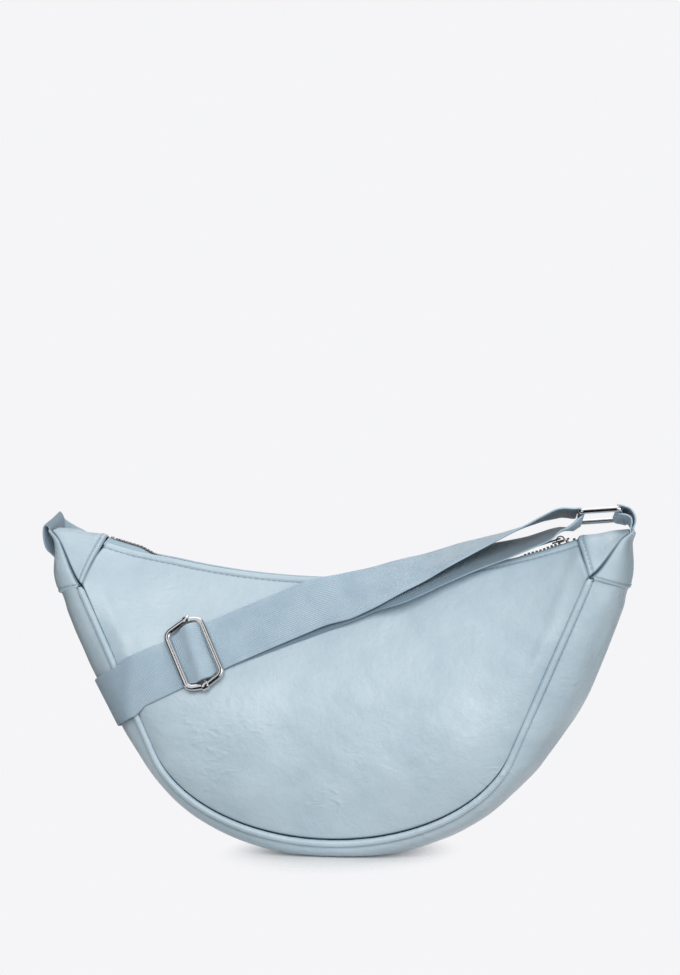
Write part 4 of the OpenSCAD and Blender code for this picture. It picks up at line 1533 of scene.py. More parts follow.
    def stitches(self) -> None:
        """Set the topstitching of the hems and patches."""
        lines = []
        t = np.linspace(-0.985, 0.985, 200)[:, None]
        grid = self.panel_places(t, 1 - (self.hem + np.array([[0.5, 0.0, -0.5]])) / FORM.ruling(t))
        outs = grid_normals(grid)[:, 1]
        points = grid[:, 1] + outs * 0.12
        flip = np.array([1, -1, 1])
        lines += [(points, outs), (points * flip, outs * flip)]
        b = np.linspace(0.2, 1.9, 40)
        w = np.linspace(-0.93, 0.93, 90)
        mirror = np.array([-1, 1, 1])
        for form, sign in ((FORM, np.array([1, 1, 1])), (FORM.mirrored(), mirror)):
            grid = form.patch(np.array([[0.09], [0.1], [0.11]]), b[None])
            row_out = grid_normals(grid)[1]
            row = grid[1] - row_out * 0.15
            lines += [(row * sign, row_out * sign), (row * sign * flip, row_out * sign * flip)]
            more = self.left_rise * (sign[0] < 0)
            up = self.end_hem(w[None, ::-1], more) + np.array([[0.071], [0.076], [0.081]])
            grid = form.end(up, w[None, ::-1])
            hem_out = grid_normals(grid)[1]
            lift = self.end_out[int(sign[0] > 0)] - 0.2
            lines.append(((grid[1] + hem_out * lift) * sign, hem_out * sign))
        stitch = stitch_shape(self.stitch_l, self.stitch_r)
        piece = Repeat("topstitching", self.stitch_gap, 0.06).build(lines, stitch, self.finishes.thread)
        dress(piece, Body.BAG)

    def build(self) -> None:
        """Make every sheet."""
        self.panels()
        self.gusset()
        self.corners()
        self.ends()
        self.piping()
        self.lining()
        self.stitches()


@dataclass
class MouthZip:
    """The curved zip: tapes, teeth, stops, slider and puller."""

    finishes: Finishes
    tooth_gap: float = 2.66
    tooth_l: float = 1.05
    tooth_h: float = 2.4
    reach: float = 1.15
    root: float = 2.6
    slider_x: float = 150.0
    stop_x: float = 158.6
    stop_l: float = 1.6
    sink: float = 3.1
    sunk_from: float = 125.0
    sunk_to: float = 140.0
    sunk_right: float = 146.0
    taper: float = 0.78
    ease: float = 0.22
    tape_deep: float = 1.9
    tape_tuck: float = 0.15
    tape_bend: float = 5.0
    tape_low: tuple[float, float] = (0.6, 1.5)
    tape_under: tuple[float, float] = (0.965, 0.92)
    tape_thick: float = 0.5
    slider_clear: float = 1.5
    right_share: float = 0.35
    right_from: float = 118.0
    right_to: float = 128.0
    right_l: float = 12.0

    def tapes(self) -> None:
        """Make the two tapes that join teeth and hems."""
        t = np.linspace(-0.995, 0.995, 160)
        m = FORM.mouth(t)
        x, z = m[:, 0], m[:, 1] + FORM.zip_rise - self.sunk(m[:, 0])
        rows = []
        for y, low in zip((-self.root - self.tape_tuck, -self.tape_bend), self.tape_low):
            rows.append(np.stack([x, np.full_like(x, y), z - low], -1))
        rows += [FORM.panel(t, v) - FORM.panel_out(t, v) * self.tape_deep for v in self.tape_under]
        grid = np.stack(rows, 1)
        for side, node in ((None, "zip_tape_front"), ("y", "zip_tape_back")):
            piece = sheet_piece(node + "_cloth", grid, self.tape_thick, self.finishes.tape, side)
            dress(piece, Body.BAG, [node])

    def tooth(self) -> Any:
        """Make one tooth that lies across the zip, with eased edges.

        Returns:
            The object.
        """
        build = bmesh.new()
        bmesh.ops.create_cube(build, size=1.0)
        length = self.root + self.reach
        for v in build.verts:
            x, y, z = v.co
            grip = self.taper if y > 0 else 1.0
            middle = (self.reach - self.root) / 2
            v.co = (x * self.tooth_l * grip * MM, (y * length + middle) * MM, z * self.tooth_h * MM)
        bmesh.ops.bevel(build, geom=list(build.edges), offset=self.ease * MM, segments=1, affect="EDGES")
        mesh = bpy.data.meshes.new("tooth")
        build.to_mesh(mesh)
        build.free()
        return placed("tooth", mesh)

    def sunk(self, x: Array) -> Array:
        """Work out how far the zip lies below its line, as the mouth sags between its ends.

        Args:
            x: Places to the side, in mm.

        Returns:
            The depth at each place, in mm.
        """
        right = mix(1.0, self.right_share, ramp(self.right_from, self.right_to, x))
        right = right * ramp(self.sunk_right, self.sunk_right - self.right_l, x)
        return self.sink * ramp(-self.sunk_to, -self.sunk_from, x) * right

    def on_zip(self, x: Any) -> tuple[Array, Array]:
        """Find places on the zip's line.

        Args:
            x: Places to the side, in mm.

        Returns:
            The places, and their upward directions.
        """
        x = np.asarray(x, float)
        turn = np.arcsin(x / FORM.mouth_r)
        r = FORM.mouth_r - FORM.zip_rise
        zero = np.zeros_like(turn)
        return (
            np.stack([r * np.sin(turn), zero, FORM.arc_z - r * np.cos(turn) - self.sunk(x)], -1),
            np.stack([-np.sin(turn), zero, np.cos(turn)], -1),
        )

    def teeth(self) -> None:
        """Set two rows of teeth, half a gap apart."""
        end = self.stop_x - self.stop_l
        for side, node, first in ((Side.MINUS, "zip_teeth_front", 0.6), (Side.PLUS, "zip_teeth_back", 1.1)):
            shift = first * self.tooth_gap
            points, ups = self.on_zip(np.linspace(-end + shift, self.slider_x - self.slider_clear, 150))
            if side is Side.PLUS:
                points, ups = points[::-1], ups[::-1]
                lengths = np.linalg.norm(np.diff(points, axis=0), axis=1).sum()
                keep = math.floor(lengths / self.tooth_gap) * self.tooth_gap
                points, ups = self.on_zip(np.linspace(-end + shift + keep * 0.99, -end + shift, 150))
            row = Repeat(node + "_row", self.tooth_gap)
            piece = row.build([(points, ups)], self.tooth(), self.finishes.cast)
            dress(piece, Body.BAG, [node])

    def metal(self) -> None:
        """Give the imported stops, slider and puller their plating."""
        for node in ("zip_bottom_stop", "zip_front_stop", "zip_back_stop", "zip_slider", "zip_puller"):
            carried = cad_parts[node]
            carried.data.materials.clear()
            carried.data.materials.append(self.finishes.cast)

    def build(self) -> None:
        """Make the zip."""
        self.tapes()
        self.teeth()
        self.metal()


@dataclass
class Hardware:
    """Frames of the strap's ring and adjuster, in mm."""

    wire_r: float = 1.7
    ring_wire_r: float = 1.85
    adjuster_wire_r: float = 2.25
    bend: float = 3.2
    corner_bend: float = 5.0
    slant: float = 0.11
    slant_reach: float = 7.5
    web_w: float = 35.0
    web_t: float = 1.3
    web_gap: float = 0.35
    ring_gap: float = 27.0
    ring_half: float = 20.3
    ring_at: tuple[float, float, float] = (161.2, -3.8, 225.4)
    ring_lean: float = 101.0
    ring_pitch: float = 5.5
    ring_yaw: float = 8.0
    gap: float = 12.5
    half: float = 20.2
    peak: float = 23.8
    bar_shift: float = 1.5
    collar_r: float = 3.2
    collar_l: float = 4.8
    collar_in: float = 0.25
    bar_in: float = 0.4
    tab_clear: float = 0.1
    tab_gap: float = 0.15
    tab_foot: float = 3.0
    strap_x: float = -92.5
    strap_z: float = 132.5
    strap_rise: float = 0.438
    strap_radius: float = 1850.0

    def __post_init__(self) -> None:
        """Work out the frames of the ring and the adjuster."""
        pitch = math.radians(self.ring_pitch)
        self.layer = self.web_t + self.web_gap
        self.lift = self.web_gap + self.web_t / 2
        self.loop_r = self.wire_r + self.web_gap + self.web_t / 2
        self.ring_v = self.across(np.array([self.ring_lean]), np.array([1.0]))[0]
        along = np.array([math.cos(pitch), 0.0, math.sin(pitch)])
        self.ring_u = unit(np.cross(self.ring_v, np.cross(along, self.ring_v)))
        self.ring_w = np.cross(self.ring_u, self.ring_v)
        seat = self.line_row(self.strap_x, 0.0)
        self.seat, self.adj_w = seat[:3], seat[3:]
        left, right = (self.line_row(self.strap_x + d, 0.0)[:3] for d in (-self.gap, self.gap))
        way = right - left
        self.adj_u = unit(way - self.adj_w * (way @ self.adj_w))
        self.adj_v = np.cross(self.adj_w, self.adj_u)
        self.left_h = self.lift + self.web_t / 2 + self.web_gap / 2 + self.adjuster_wire_r
        self.bar_h = self.left_h + self.layer / 2

    def across(self, leans: Array, share: Array) -> Array:
        """Return directions across the strap.

        Args:
            leans: How far each leans over, in degrees.
            share: How far each turns with the ring, from 0 to 1.

        Returns:
            One direction for each.
        """
        turn, yaw = np.radians(leans), np.radians(self.ring_yaw) * share
        return np.stack([-np.sin(turn) * np.sin(yaw), np.sin(turn) * np.cos(yaw), np.cos(turn)], -1)

    def line(self, x: float) -> float:
        """Return the height of the strap's line across the front."""
        d = x - self.strap_x
        return self.strap_z + self.strap_rise * d - d * d / (2 * self.strap_radius)

    def line_row(self, x: float, lift: float) -> Array:
        """Return the strap's centre and face direction on the front panel."""
        return FORM.on_front(x, self.line(x), lift)

    def ring_point(self, u: float, h: float) -> Array:
        """Return a place in the ring's middle plane, u across it and h above it."""
        return np.array(self.ring_at) + self.ring_u * u + self.ring_w * h

    def seat_point(self, u: float, h: float) -> Array:
        """Return a place in the adjuster's middle plane."""
        return self.seat + self.adj_u * u + self.adj_w * h

    def adjuster_place(self, points: Array) -> Array:
        """Turn places in the adjuster's own frame into the bag's frame.

        Args:
            points: Places along the strap, across it and above the middle bar, in mm.

        Returns:
            The places on the bag.
        """
        lean = math.atan2(self.layer, 2 * self.gap)
        u = self.adj_u * math.cos(lean) + self.adj_w * math.sin(lean)
        w = np.cross(u, self.adj_v)
        hub = self.seat + self.adj_w * self.bar_h
        return hub + points[..., 0:1] * u + points[..., 1:2] * self.adj_v + points[..., 2:3] * w

    def slanted(self, points: Array) -> Array:
        """Slant what lies on the middle bar, as the bar stands a little askew in its frame.

        Args:
            points: Places in mm.

        Returns:
            The moved places.
        """
        local = points - self.seat
        u, v = local @ self.adj_u, local @ self.adj_v
        shift = (self.slant * v + self.bar_shift) * ramp(self.gap, self.slant_reach, np.abs(u))
        return points + shift[..., None] * self.adj_u


@dataclass
class Fittings:
    """The wire ring and the wire adjuster."""

    finishes: Finishes
    sizes: Hardware

    def ring(self) -> None:
        """Bend the ring."""
        s = self.sizes
        half = s.ring_half
        corners = [(0, -half), (s.ring_gap, -half), (s.ring_gap, half), (0, half)]
        places = np.array([np.array(s.ring_at) + s.ring_u * u + s.ring_v * v for u, v in corners])
        line = bend_corners(places, [s.bend] * 4, True, 10)
        piece = tube("strap_ring_wire", line, s.ring_wire_r, self.finishes.nickel, True, 24)
        dress(piece, Body.RING, ["strap_ring"])

    def adjuster(self) -> None:
        """Bend the adjuster's frame."""
        s = self.sizes
        kink = s.slant * s.peak
        corners = np.array(
            [
                (-s.gap, -s.half, 0),
                (s.bar_shift - kink, -s.peak, 0),
                (s.gap, -s.half, 0),
                (s.gap, s.half, 0),
                (s.bar_shift + kink, s.peak, 0),
                (-s.gap, s.half, 0),
            ],
            float,
        )
        radii = [s.corner_bend, s.bend, s.corner_bend] * 2
        line = bend_corners(corners, radii, True, 9)
        places = s.adjuster_place(line)
        piece = tube("adjuster_frame_wire", places, s.adjuster_wire_r, self.finishes.nickel, True, 24)
        dress(piece, Body.ADJUSTER, ["adjuster_frame"])

    def bar(self) -> None:
        """Make the middle bar with its two collars."""
        s = self.sizes
        reach = s.peak - s.collar_in
        inner = reach - s.collar_r + s.bar_in
        line = np.stack([np.zeros(24), np.linspace(-inner, inner, 24), np.zeros(24)], -1)
        places = s.slanted(s.adjuster_place(line))
        bar = tube("adjuster_middle_bar", places, s.wire_r, self.finishes.nickel, False, 24)
        dress(bar, Body.ADJUSTER, ["adjuster_bar"])
        profile = [(-1.0, 0.67), (-1.0, 0.9), (-0.86, 1.0), (0.86, 1.0), (1.0, 0.9), (1.0, 0.67)]
        a = np.linspace(0, 2 * math.pi, 28, endpoint=False)
        x = np.array([p[0] for p in profile]) * s.collar_l / 2
        r = np.array([p[1] for p in profile]) * s.collar_r
        for hand in (Side.MINUS, Side.PLUS):
            rings = np.stack(
                [
                    np.broadcast_to(x[:, None], (len(x), len(a))),
                    hand.value * reach + r[:, None] * np.cos(a),
                    r[:, None] * np.sin(a),
                ],
                -1,
            )
            n, m = rings.shape[:2]
            faces = []
            for i in range(n):
                k = (i + 1) % n
                faces += [(k * m + j, k * m + (j + 1) % m, i * m + (j + 1) % m, i * m + j) for j in range(m)]
            name = f"adjuster_collar_{hand.name.lower()}"
            places = s.slanted(s.adjuster_place(rings.reshape(-1, 3)))
            dress(make_object(name, places, faces, self.finishes.nickel), Body.ADJUSTER)

    def build(self) -> None:
        """Make the fittings."""
        self.ring()
        self.adjuster()
        self.bar()


def laid(points: Array, acrosses: Array) -> Array:
    """Give places on a way their directions across the band.

    Args:
        points: The places.
        acrosses: Roughly the direction across the band at each.

    Returns:
        Rows of a centre and a direction square to the way.
    """
    ahead = np.concatenate([points[1:], points[-1:]])
    behind = np.concatenate([points[:1], points[:-1]])
    ways = unit(ahead - behind)
    square = acrosses - ways * np.sum(acrosses * ways, axis=1)[:, None]
    return np.concatenate([points, unit(square)], axis=1)


def crossed(rows: Array) -> Array:
    """Turn rows of a centre and a face direction into rows of a centre and a direction across."""
    ways = unit(np.gradient(rows[:, :3], axis=0))
    return np.concatenate([rows[:, :3], unit(np.cross(rows[:, 3:], ways))], axis=1)


def distances(rows: Array) -> Array:
    """Return how far along the strap each row lies from the first one."""
    steps = np.linalg.norm(np.diff(rows[:, :3], axis=0), axis=1)
    return np.concatenate([[0.0], np.cumsum(steps)])


@dataclass
class Strap:
    """The strap as one way round the bag, and the tab of the same webbing."""

    finishes: Finishes
    sizes: Hardware
    wrap_front: float = -0.71
    wrap_back: float = -0.70
    leave_x: float = -12.0
    fold_r: float = 2.0
    press: float = 1.8
    span: float = 160.0
    level: float = 225.9
    side_l: float = 277.3
    piping_out: float = 3.35
    edge_round: float = 0.5
    bar_swell: float = 0.13
    # Share of painted shade on the strap where it wraps round the bag's left side.
    wrap_painted_shade: float = 0.5
    under_h: float = -0.3
    way_gap: float = 1.6
    tab_way_gap: float = 1.2
    run_share: float = 0.36
    wrap_clear: float = 7.05

    def front_rows(
        self,
        drop: float,
        lift: float,
        shares: Sequence[Sequence[float]],
        end: Array,
        lean: float,
    ) -> Array:
        """Lay one front layer, from the adjuster to near the ring.

        Args:
            drop: How far the layer sinks below the line of the strap.
            lift: How far it lies above the lower layer.
            shares: Places on the way up, as shares of the span, depth and height, with a lean.
            end: Its last place, in mm.
            lean: How far the last place leans over, in degrees.

        Returns:
            Rows of a centre and a direction across.
        """
        s = self.sizes
        start = s.strap_x + s.adj_u[0] * (s.gap + 2 * s.wire_r + s.web_w / 4)
        rows = []
        for k in range(5):
            u = k / 4
            row = s.line_row(mix(start, self.leave_x, u), s.lift)
            row[:3] += row[3:] * lift * (1 + u) - unit(np.cross(row[3:], s.adj_u)) * drop * u
            rows.append(row)
        table = []
        for a, b, c, d in shares:
            table.append([a * self.span, b * FORM.mouth_half, mix(FORM.mouth_low, self.level, c), d])
        table.append([*end, lean])
        way = spline(np.array(table), 2)
        acrosses = s.across(way[:, 3], ramp(0.55, 1.0, way[:, 0] / s.ring_at[0]))
        return np.concatenate([crossed(np.array(rows)), laid(way[:, :3], acrosses)])

    def seat_rows(self, points: Sequence[tuple[float, float]]) -> Array:
        """Return rows of a way in the adjuster's middle plane."""
        places = np.array([self.sizes.seat_point(u, h) for u, h in points])
        return laid(places, np.broadcast_to(self.sizes.adj_v, places.shape))

    def arc(
        self, height: float, radius: float, start: float, end: float, count: int
    ) -> list[tuple[float, float]]:
        """Return places round a bar, between two angles."""
        angles = [math.radians(mix(start, end, k / count)) for k in range(count + 1)]
        return [(radius * math.cos(a), height + radius * math.sin(a)) for a in angles]

    def wrap_point(self, t: float, w: float) -> Array:
        """Find a place of the strap round the left side.

        Args:
            t: Place along the bag's side seam.
            w: Place across the bag, from -1 at the front to 1 at the back.

        Returns:
            The place, in mm.
        """
        lift = self.sizes.lift + self.sizes.web_gap
        swell = FORM.seam_out(t) * (FORM.girth(t) + lift - self.press)
        half = FORM.depth(t) + self.piping_out + lift + self.sizes.web_gap
        return FORM.bow(FORM.seam(t), half, swell, FORM.fullness(t), 0.0, np.asarray(w, float))

    def back_rows(self) -> Array:
        """Lay the strap from the left slot down the back, round the fold and to the side.

        Returns:
            Rows of a centre and a direction across.
        """
        s = self.sizes
        edges = np.array(
            [
                [-197.3, -17.5, 213.0, -197.3, 17.5, 213.0],
                [-197.6, -17.5, 216.3, -197.6, 17.5, 218.2],
                [-199.4, -17.6, 218.9, -198.0, 17.6, 224.6],
                [-201.9, -16.9, 218.6, -199.6, 17.8, 228.0],
                [-203.9, -12.0, 213.0, -200.6, 19.5, 227.6],
                [-203.8, -5.5, 204.5, -199.0, 21.5, 223.0],
                [-200.4, 8.5, 197.9, -194.0, 31.0, 216.5],
                [-194.5, 19.0, 184.5, -185.0, 35.5, 212.3],
                [-178.0, 41.2, 161.5, -166.2, 42.2, 194.4],
                [-157.0, 43.1, 150.2, -143.0, 38.9, 181.7],
            ]
        )
        down = np.array(
            [
                [-0.749, 0.848],
                [-0.497, 0.728],
                [-0.234, 0.598],
                [0.058, 0.467],
                [0.292, 0.375],
                [0.433, 0.323],
            ]
        )
        back = np.array(
            [
                [0.4, 0.305, 2.6],
                [0.175, 0.272, 1.5],
                [-0.117, 0.272, 1.1],
                [-0.42, 0.35, 0.4],
                [-0.637, 0.465, 0.3],
            ]
        )
        low, high = edges[:, :3], edges[:, 3:]
        first = np.concatenate([(low + high) / 2, unit(high - low)], axis=1)
        flip = np.array([1, 1, 1, -1, -1, -1])
        size = np.array([FORM.corner_x, FORM.corner_z])
        second = np.array([FORM.on_back(*(p * size), s.lift + s.web_gap) * flip for p in spline(down, 2)])
        fourth = np.array([FORM.on_back(*(p[:2] * size), s.lift + p[2] * s.layer) for p in spline(back, 2)])
        at, out = second[-1][:3], -second[-1][3:]
        turn = unit(at - second[-3][:3]) - unit(fourth[2][:3] - fourth[0][:3])
        turn = unit(turn - out * (turn @ out))
        third = []
        for k in range(9):
            a = math.radians(22.5 * k)
            r = turn * math.sin(a) - out * math.cos(a)
            third.append(np.concatenate([at + (turn + out) * self.fold_r + self.fold_r * r, r]))
        return np.concatenate([first, crossed(second), crossed(np.array(third)), crossed(fourth)])

    def runs(self) -> list[Array]:
        """Lay the whole strap.

        Returns:
            The rows of each run, from the left slot to the sewn end.
        """
        s = self.sizes
        reach = s.web_w / 2 / self.side_l
        centres, acrosses = [], []
        for k in range(17):
            w = 1 - k / 8
            t = mix(self.wrap_front, self.wrap_back, (w + 1) / 2)
            centres.append(self.wrap_point(t, w))
            acrosses.append(unit(self.wrap_point(t - reach, w) - self.wrap_point(t + reach, w)))
        wrap = laid(np.array(centres), np.array(acrosses))
        side_x = FORM.seam(self.wrap_front)[0]
        side_end = mix(side_x, s.strap_x, self.run_share)
        near = side_x + self.wrap_clear
        hump_end = s.gap + 2 * s.wire_r
        left_end = s.strap_x - s.adj_u[0] * (hump_end + s.web_w / 8)
        raised = s.lift + s.web_gap
        left = np.array([s.line_row(x, raised) for x in (near, mix(near, side_end, 0.5))])
        run = np.array([s.line_row(x, raised) for x in (side_end, mix(side_end, left_end, 0.5), left_end)])
        hump = self.seat_rows(
            [(-hump_end, s.lift), (-s.gap + s.wire_r / 2, s.lift + s.web_gap / 2)]
            + self.arc(s.bar_h, s.loop_r + s.layer, 145, 40, 6)
            + [(s.gap - s.wire_r / 2, s.lift + s.layer)]
        )
        end = self.seat_rows(
            [(hump_end, s.lift), (s.gap / 2, s.lift + s.web_gap / 2)]
            + self.arc(s.bar_h, s.loop_r, -90, -310, 9)
            + [(s.gap * 0.62, s.lift + s.layer + s.web_gap)]
        )
        upper = [
            [0.044, -2.22, -0.29, 28],
            [0.15, -2.05, -0.15, 40],
            [0.263, -1.62, 0.035, 52],
            [0.388, -0.89, 0.22, 62],
            [0.525, -0.56, 0.445, 71],
            [0.681, -0.22, 0.675, 84],
            [0.781, -0.3, 0.826, 90.5],
            [0.845, -0.38, 0.93, 94.5],
            [0.888, -0.44, 0.99, 98],
            [0.929, -0.5, 1.045, 101],
        ]
        lower = [
            [0.044, -2.02, -0.338, 27],
            [0.15, -1.88, -0.193, 34],
            [0.263, -1.85, -0.12, 48],
            [0.406, -1.1, 0.085, 56],
            [0.581, -0.44, 0.322, 64],
            [0.7, -0.25, 0.447, 70],
            [0.788, -0.33, 0.55, 76],
            [0.888, -0.42, 0.695, 80],
            [0.938, -0.5, 0.768, 88],
            [0.971, -0.55, 0.79, 97],
        ]
        over_lift = s.layer + s.web_gap
        far, close = 2.5 * s.bend, 2 * s.wire_r
        seat = np.concatenate([s.seat_point(hump_end, s.lift + over_lift), s.adj_v])
        upper_rows = self.front_rows(0, over_lift, upper, s.ring_point(-far, s.loop_r + 0.8), s.ring_lean)
        over = np.concatenate([[seat], upper_rows])
        under_end = s.ring_point(-s.web_t, -1.8 * s.loop_r)
        under = self.front_rows(2 * s.web_t, 0, lower, under_end, s.ring_lean)
        back_under = under[::-1]
        around = [s.ring_point(-close, s.loop_r)]
        for a in np.radians(np.arange(90, -46, -22.5)):
            around.append(s.ring_point(s.loop_r * math.cos(a), s.loop_r * math.sin(a)))
        ring = laid(np.array(around), np.broadcast_to(s.ring_v, (len(around), 3)))
        cut = len(under) - 9
        return [
            self.back_rows(),
            np.concatenate([wrap, crossed(left)]),
            crossed(run),
            hump,
            over[:10],
            over[10:],
            ring,
            back_under[:cut],
            back_under[cut:],
            end,
        ]

    def band(self, name: str, rows: Array, start: float) -> Any:
        """Make a stretch of webbing with rounded edges.

        Args:
            name: The piece's name.
            rows: Rows of a centre and a direction across.
            start: Distance of the first row along the strap, in mm.

        Returns:
            The object.
        """
        return self.swept(name, rows, unit(np.gradient(rows[:, :3], axis=0)), start)

    def section(self) -> Array:
        """Work out the webbing's outline, with rounded edges.

        Returns:
            Places across the band and above its middle, in mm.
        """
        half, thick = self.sizes.web_w / 2, self.sizes.web_t / 2
        top = [(c, thick) for c in np.linspace(half - self.edge_round, -half + self.edge_round, 9)]
        edge = [(-half + 0.12, thick * 0.62), (-half, 0.0), (-half + 0.12, -thick * 0.62)]
        return np.array(top + edge + [(-c, -h) for c, h in top] + [(-c, -h) for c, h in edge])

    def swept(self, name: str, rows: Array, ways: Array, start: float, slanted: bool = False) -> Any:
        """Sweep the webbing's section along rows whose directions are given.

        Args:
            name: The piece's name.
            rows: Rows of a centre and a direction across.
            ways: The direction along the strap at each row.
            start: Distance of the first row along the strap, in mm.
            slanted: Whether the piece lies on the adjuster's middle bar.

        Returns:
            The object.
        """
        across = unit(rows[:, 3:])
        outs = unit(np.cross(ways, across))
        shape = self.section()
        near_bar = (rows[:, :3] - self.sizes.seat) @ self.sizes.adj_u
        wider = 1 + self.bar_swell * slanted * ramp(0.85 * self.sizes.gap, 4, np.abs(near_bar))
        points = rows[:, None, :3] + across[:, None] * shape[None, :, :1] * wider[:, None, None]
        points = points + outs[:, None] * shape[None, :, 1:]
        n, m = points.shape[:2]
        along = start + distances(rows)
        uvs = np.stack([np.broadcast_to(along[:, None], (n, m)), np.broadcast_to(shape[:, 0], (n, m))], -1)
        faces = [f[::-1] for f in sleeve(n, m)]
        faces.append(tuple(range(m))[::-1])
        faces.append(tuple((n - 1) * m + j for j in range(m)))
        if slanted:
            points = self.sizes.slanted(points)
        # Darker reverse colour on the reverse face, and painted shade where the strap wraps round the left
        # side, away from the light.
        reverse_and_shade = np.broadcast_to((shape[:, 1] < self.under_h) * 1.0, (n, m))
        x, y, z = points[..., 0], points[..., 1], points[..., 2]
        painted_side_shade = self.wrap_painted_shade * ramp(-131, -141, x) * ramp(5, -25, y) * ramp(190, 170, z)
        reverse_and_shade = np.maximum(reverse_and_shade, painted_side_shade)
        verts = points.reshape(-1, 3)
        return make_object(name, verts, faces, self.finishes.webbing, uvs.reshape(-1, 2), reverse_and_shade)

    def strap(self) -> None:
        """Make the strap's pieces and put each on the bodies that carry it."""
        runs = self.runs()
        firsts = np.cumsum([0] + [len(r) for r in runs])
        rows, places = smooth_way(np.concatenate(runs), self.way_gap)
        ways = unit(np.gradient(rows[:, :3], axis=0))
        starts = distances(rows)
        names = [
            "strap_back_run",
            "strap_side_wrap",
            "strap_left_run",
            "strap_hump",
            "strap_front_low",
            "strap_front_high",
            "strap_ring_loop",
            "strap_return_high",
            "strap_return_low",
            "strap_end_loop",
        ]
        joined = {
            "strap_left_run": (Body.BAG, Body.ADJUSTER),
            "strap_front_low": (Body.ADJUSTER, Body.BAG),
            "strap_front_high": (Body.BAG, Body.RING),
            "strap_return_high": (Body.RING, Body.BAG),
            "strap_return_low": (Body.BAG, Body.ADJUSTER),
        }
        carried = {"strap_hump": Body.ADJUSTER, "strap_ring_loop": Body.RING, "strap_end_loop": Body.ADJUSTER}
        for k, name in enumerate(names):
            low = places[firsts[k]]
            high = places[firsts[k + 1]] if k + 1 < len(names) else len(rows) - 1
            part = slice(low, high + 1)
            on_bar = carried.get(name) is Body.ADJUSTER
            piece = self.swept(name + "_webbing", rows[part], ways[part], float(starts[low]), on_bar)
            if name in joined:
                first, last = joined[name]
                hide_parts(name)
                start, end = tuple(rows[low, :3] * MM), tuple(rows[high, :3] * MM)
                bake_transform(piece, first.value, last.value, start=start, end=end)
                count = len(piece.data.polygons)
                LOG.info("%s: %d faces from %s to %s", piece.name, count, first.value, last.value)
            else:
                dress(piece, carried.get(name, Body.BAG), [name])

    def tab(self) -> None:
        """Make the right tab, looped round the ring."""
        s = self.sizes
        inner = FORM.tab_x + s.tab_clear + s.web_t / 2 - FORM.twist * FORM.tab_half
        outer = inner + s.web_t + s.tab_gap
        top, foot = s.ring_point(s.ring_gap, s.loop_r), s.ring_point(s.ring_gap, -s.loop_r)
        slot = FORM.tab_z + FORM.tab_rise / 2 - s.tab_foot
        rise = FORM.tab_z + FORM.tab_rise
        bent = [mix(inner, foot[0], 0.2), 0, mix(rise, foot[2], 0.75)]
        way_in = spline(np.array([[inner, 0, slot], [inner, 0, rise], bent, foot]), 3)
        way_out = spline(
            np.array(
                [
                    top,
                    [mix(top[0], outer, 0.75), 0, mix(top[2], FORM.tab_z, 0.18)],
                    [outer, 0, mix(top[2], FORM.tab_z, 0.6)],
                    [outer, 0, rise],
                    [outer, 0, slot],
                ]
            ),
            3,
        )
        hub = np.array(s.ring_at) + s.ring_u * s.ring_gap
        around = []
        for a in np.radians(np.arange(-112.5, -248, -22.5)):
            around.append(hub + s.loop_r * (s.ring_u * math.cos(a) + s.ring_w * math.sin(a)))
        points = np.concatenate([way_in, around, way_out])
        share = ramp(0.4, 1, (points[:, 2] - top[2]) / (FORM.tab_z - top[2]))[:, None]
        acrosses = mix(s.ring_v, np.array([-FORM.twist, 1.0, 0.0]), share)
        rows, _ = smooth_way(laid(points, acrosses), self.tab_way_gap)
        piece = self.band("right_tab_webbing", rows, 0.0)
        dress(piece, Body.BAG, ["right_tab"])

    def build(self) -> None:
        """Make the strap and the tab."""
        self.strap()
        self.tab()


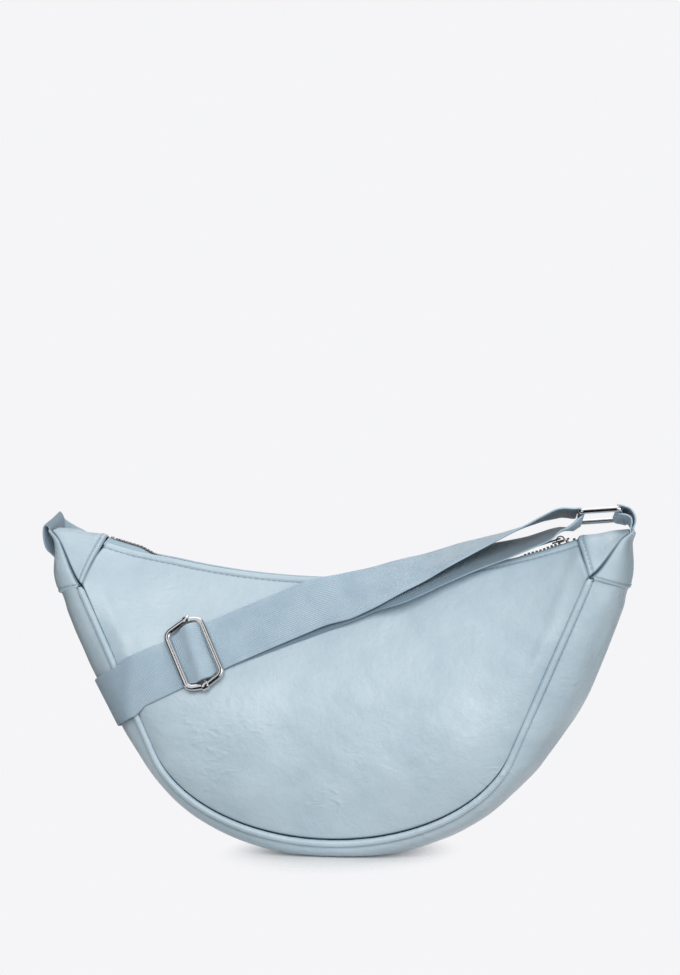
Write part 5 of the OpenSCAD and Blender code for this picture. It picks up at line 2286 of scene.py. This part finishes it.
@dataclass
class Studio:
    """Camera, pale floor and soft light."""

    back: str = "#F5F5F7"
    distance: float = 1.8
    azimuth: float = 10.0
    height: float = 0.245
    lens: float = 98.47
    glow: float = 0.4
    floor_r: float = 900.0
    floor_z: float = -0.2
    fade: tuple[float, float] = (0.05, 0.125)
    board: str = "#0A0A0B"

    def camera(self) -> None:
        """Set the camera at the photograph's angle."""
        data = bpy.data.cameras.new("camera")
        data.lens = self.lens
        data.clip_start = 0.05
        camera = bpy.data.objects.new("camera", data)
        turn = math.radians(self.azimuth)
        camera.location = (self.distance * math.sin(turn), -self.distance * math.cos(turn), self.height)
        camera.rotation_euler = (math.pi / 2, 0.0, turn)
        bpy.context.collection.objects.link(camera)
        bpy.context.scene.camera = camera

    def world(self) -> None:
        """Set an even white world that the camera and the metal see as the backdrop."""
        world = bpy.data.worlds.new("studio")
        world.use_nodes = True
        tree = world.node_tree
        tree.nodes.clear()
        path = add(tree, "ShaderNodeLightPath")
        seen = path.outputs["Is Camera Ray"]
        for ray in ("Is Glossy Ray", "Is Transmission Ray"):
            links = {0: seen, 1: path.outputs[ray]}
            seen = add(tree, "ShaderNodeMath", {"operation": "MAXIMUM"}, links).outputs[0]
        light = add(tree, "ShaderNodeBackground", {"Color": grey(1.0), "Strength": self.glow})
        backdrop = add(tree, "ShaderNodeBackground", {"Color": linear(self.back), "Strength": 1.0})
        links = {0: seen, 1: light.outputs[0], 2: backdrop.outputs[0]}
        both = add(tree, "ShaderNodeMixShader", links=links)
        add(tree, "ShaderNodeOutputWorld", links={"Surface": both.outputs[0]})
        bpy.context.scene.world = world

    def floor(self) -> None:
        """Lay a pale floor that fades into the backdrop."""
        material, tree, shader = new_material("matt paper", self.back)
        place = add(tree, "ShaderNodeTexCoord").outputs["Object"]
        wide = add(tree, "ShaderNodeMapping", {"Scale": (1.5, 1.0, 1.0)}, {"Vector": place})
        reach = add(tree, "ShaderNodeVectorMath", {"operation": "LENGTH"}, {0: wide.outputs[0]})
        fade = add(
            tree,
            "ShaderNodeMapRange",
            {
                "interpolation_type": "SMOOTHSTEP",
                "From Min": self.fade[0],
                "From Max": self.fade[1],
                "To Min": 0.85,
                "To Max": 0.0,
            },
            {"Value": reach.outputs["Value"]},
        )
        shader.inputs["Base Color"].default_value = grey(0.86)
        shader.inputs["Roughness"].default_value = 0.9
        shader.inputs["Specular IOR Level"].default_value = 0.1
        tree.links.new(fade.outputs[0], shader.inputs["Alpha"])
        a = np.linspace(0, 2 * math.pi, 96, endpoint=False)
        x, y = self.floor_r * np.cos(a), self.floor_r * np.sin(a)
        ring = np.stack([x, y, np.full_like(a, self.floor_z)], -1)
        floor = make_object("floor", ring, [tuple(range(len(a)))], material)

    def cards(self) -> None:
        """Stand black cards round the bag, which only the metal sees."""
        material, _, shader = new_material("matt black board", self.board)
        shader.inputs["Base Color"].default_value = linear(self.board)
        shader.inputs["Roughness"].default_value = 0.9
        places = (
            ("card_front", (-230, -1250), (670, -1250), -600, 1350),
            ("card_left", (-1400, -1060), (-700, 1700), -300, 2200),
            ("card_right", (1300, -137), (700, 1700), -300, 2200),
        )
        outlines = []
        for name, a, b, low, high in places:
            outlines.append((name, [(*a, low), (*b, low), (*b, high), (*a, high)]))
        under = [(x, y, -400) for x, y in ((-1300, -2300), (1300, -2300), (1300, -250), (-1300, -250))]
        outlines.append(("card_under", under))
        for name, outline in outlines:
            corners = np.array(outline, float)
            card = make_object(name, corners, [(0, 1, 2, 3)], material)
            card.visible_camera = False
            card.visible_diffuse = False
            card.visible_shadow = False

    def lamp(self, name: str, at: tuple[float, float, float], size: float, power: float) -> None:
        """Hang one soft square lamp that faces the bag.

        Args:
            name: The lamp's name.
            at: Its place, in metres.
            size: Its side, in metres.
            power: Its power in watts.
        """
        data = bpy.data.lights.new(name, "AREA")
        data.size = size
        data.energy = power
        lamp = bpy.data.objects.new(name, data)
        lamp.location = at
        way = np.array([0.0, 0.0, 0.12]) - np.array(at)
        flat = math.hypot(way[0], way[1])
        lamp.rotation_euler = (math.atan2(flat, -way[2]), 0.0, math.atan2(way[1], way[0]) - math.pi / 2)
        bpy.context.collection.objects.link(lamp)

    def build(self) -> None:
        """Set up the studio."""
        self.camera()
        self.world()
        self.floor()
        self.cards()
        self.lamp("key", (0.3, -1.9, 1.0), 1.2, 26.5)
        self.lamp("fill", (1.6, -0.8, 0.7), 1.0, 6.0)
        self.lamp("top", (-0.1, 0.4, 1.9), 1.4, 9.0)
        bpy.context.scene.view_settings.view_transform = "Standard"


def main() -> None:
    """Build the bag and its studio."""
    logging.basicConfig(level=logging.INFO, format="%(name)s: %(message)s")
    finishes = Finishes()
    sizes = Hardware()
    soft, mouth = BagShell(finishes), MouthZip(finishes)
    for part in (Studio(), soft, mouth, Fittings(finishes, sizes), Strap(finishes, sizes)):
        LOG.info("building %s", type(part).__name__)
        part.build()
    bpy.context.view_layer.update()


if __name__ == "__main__":
    main()
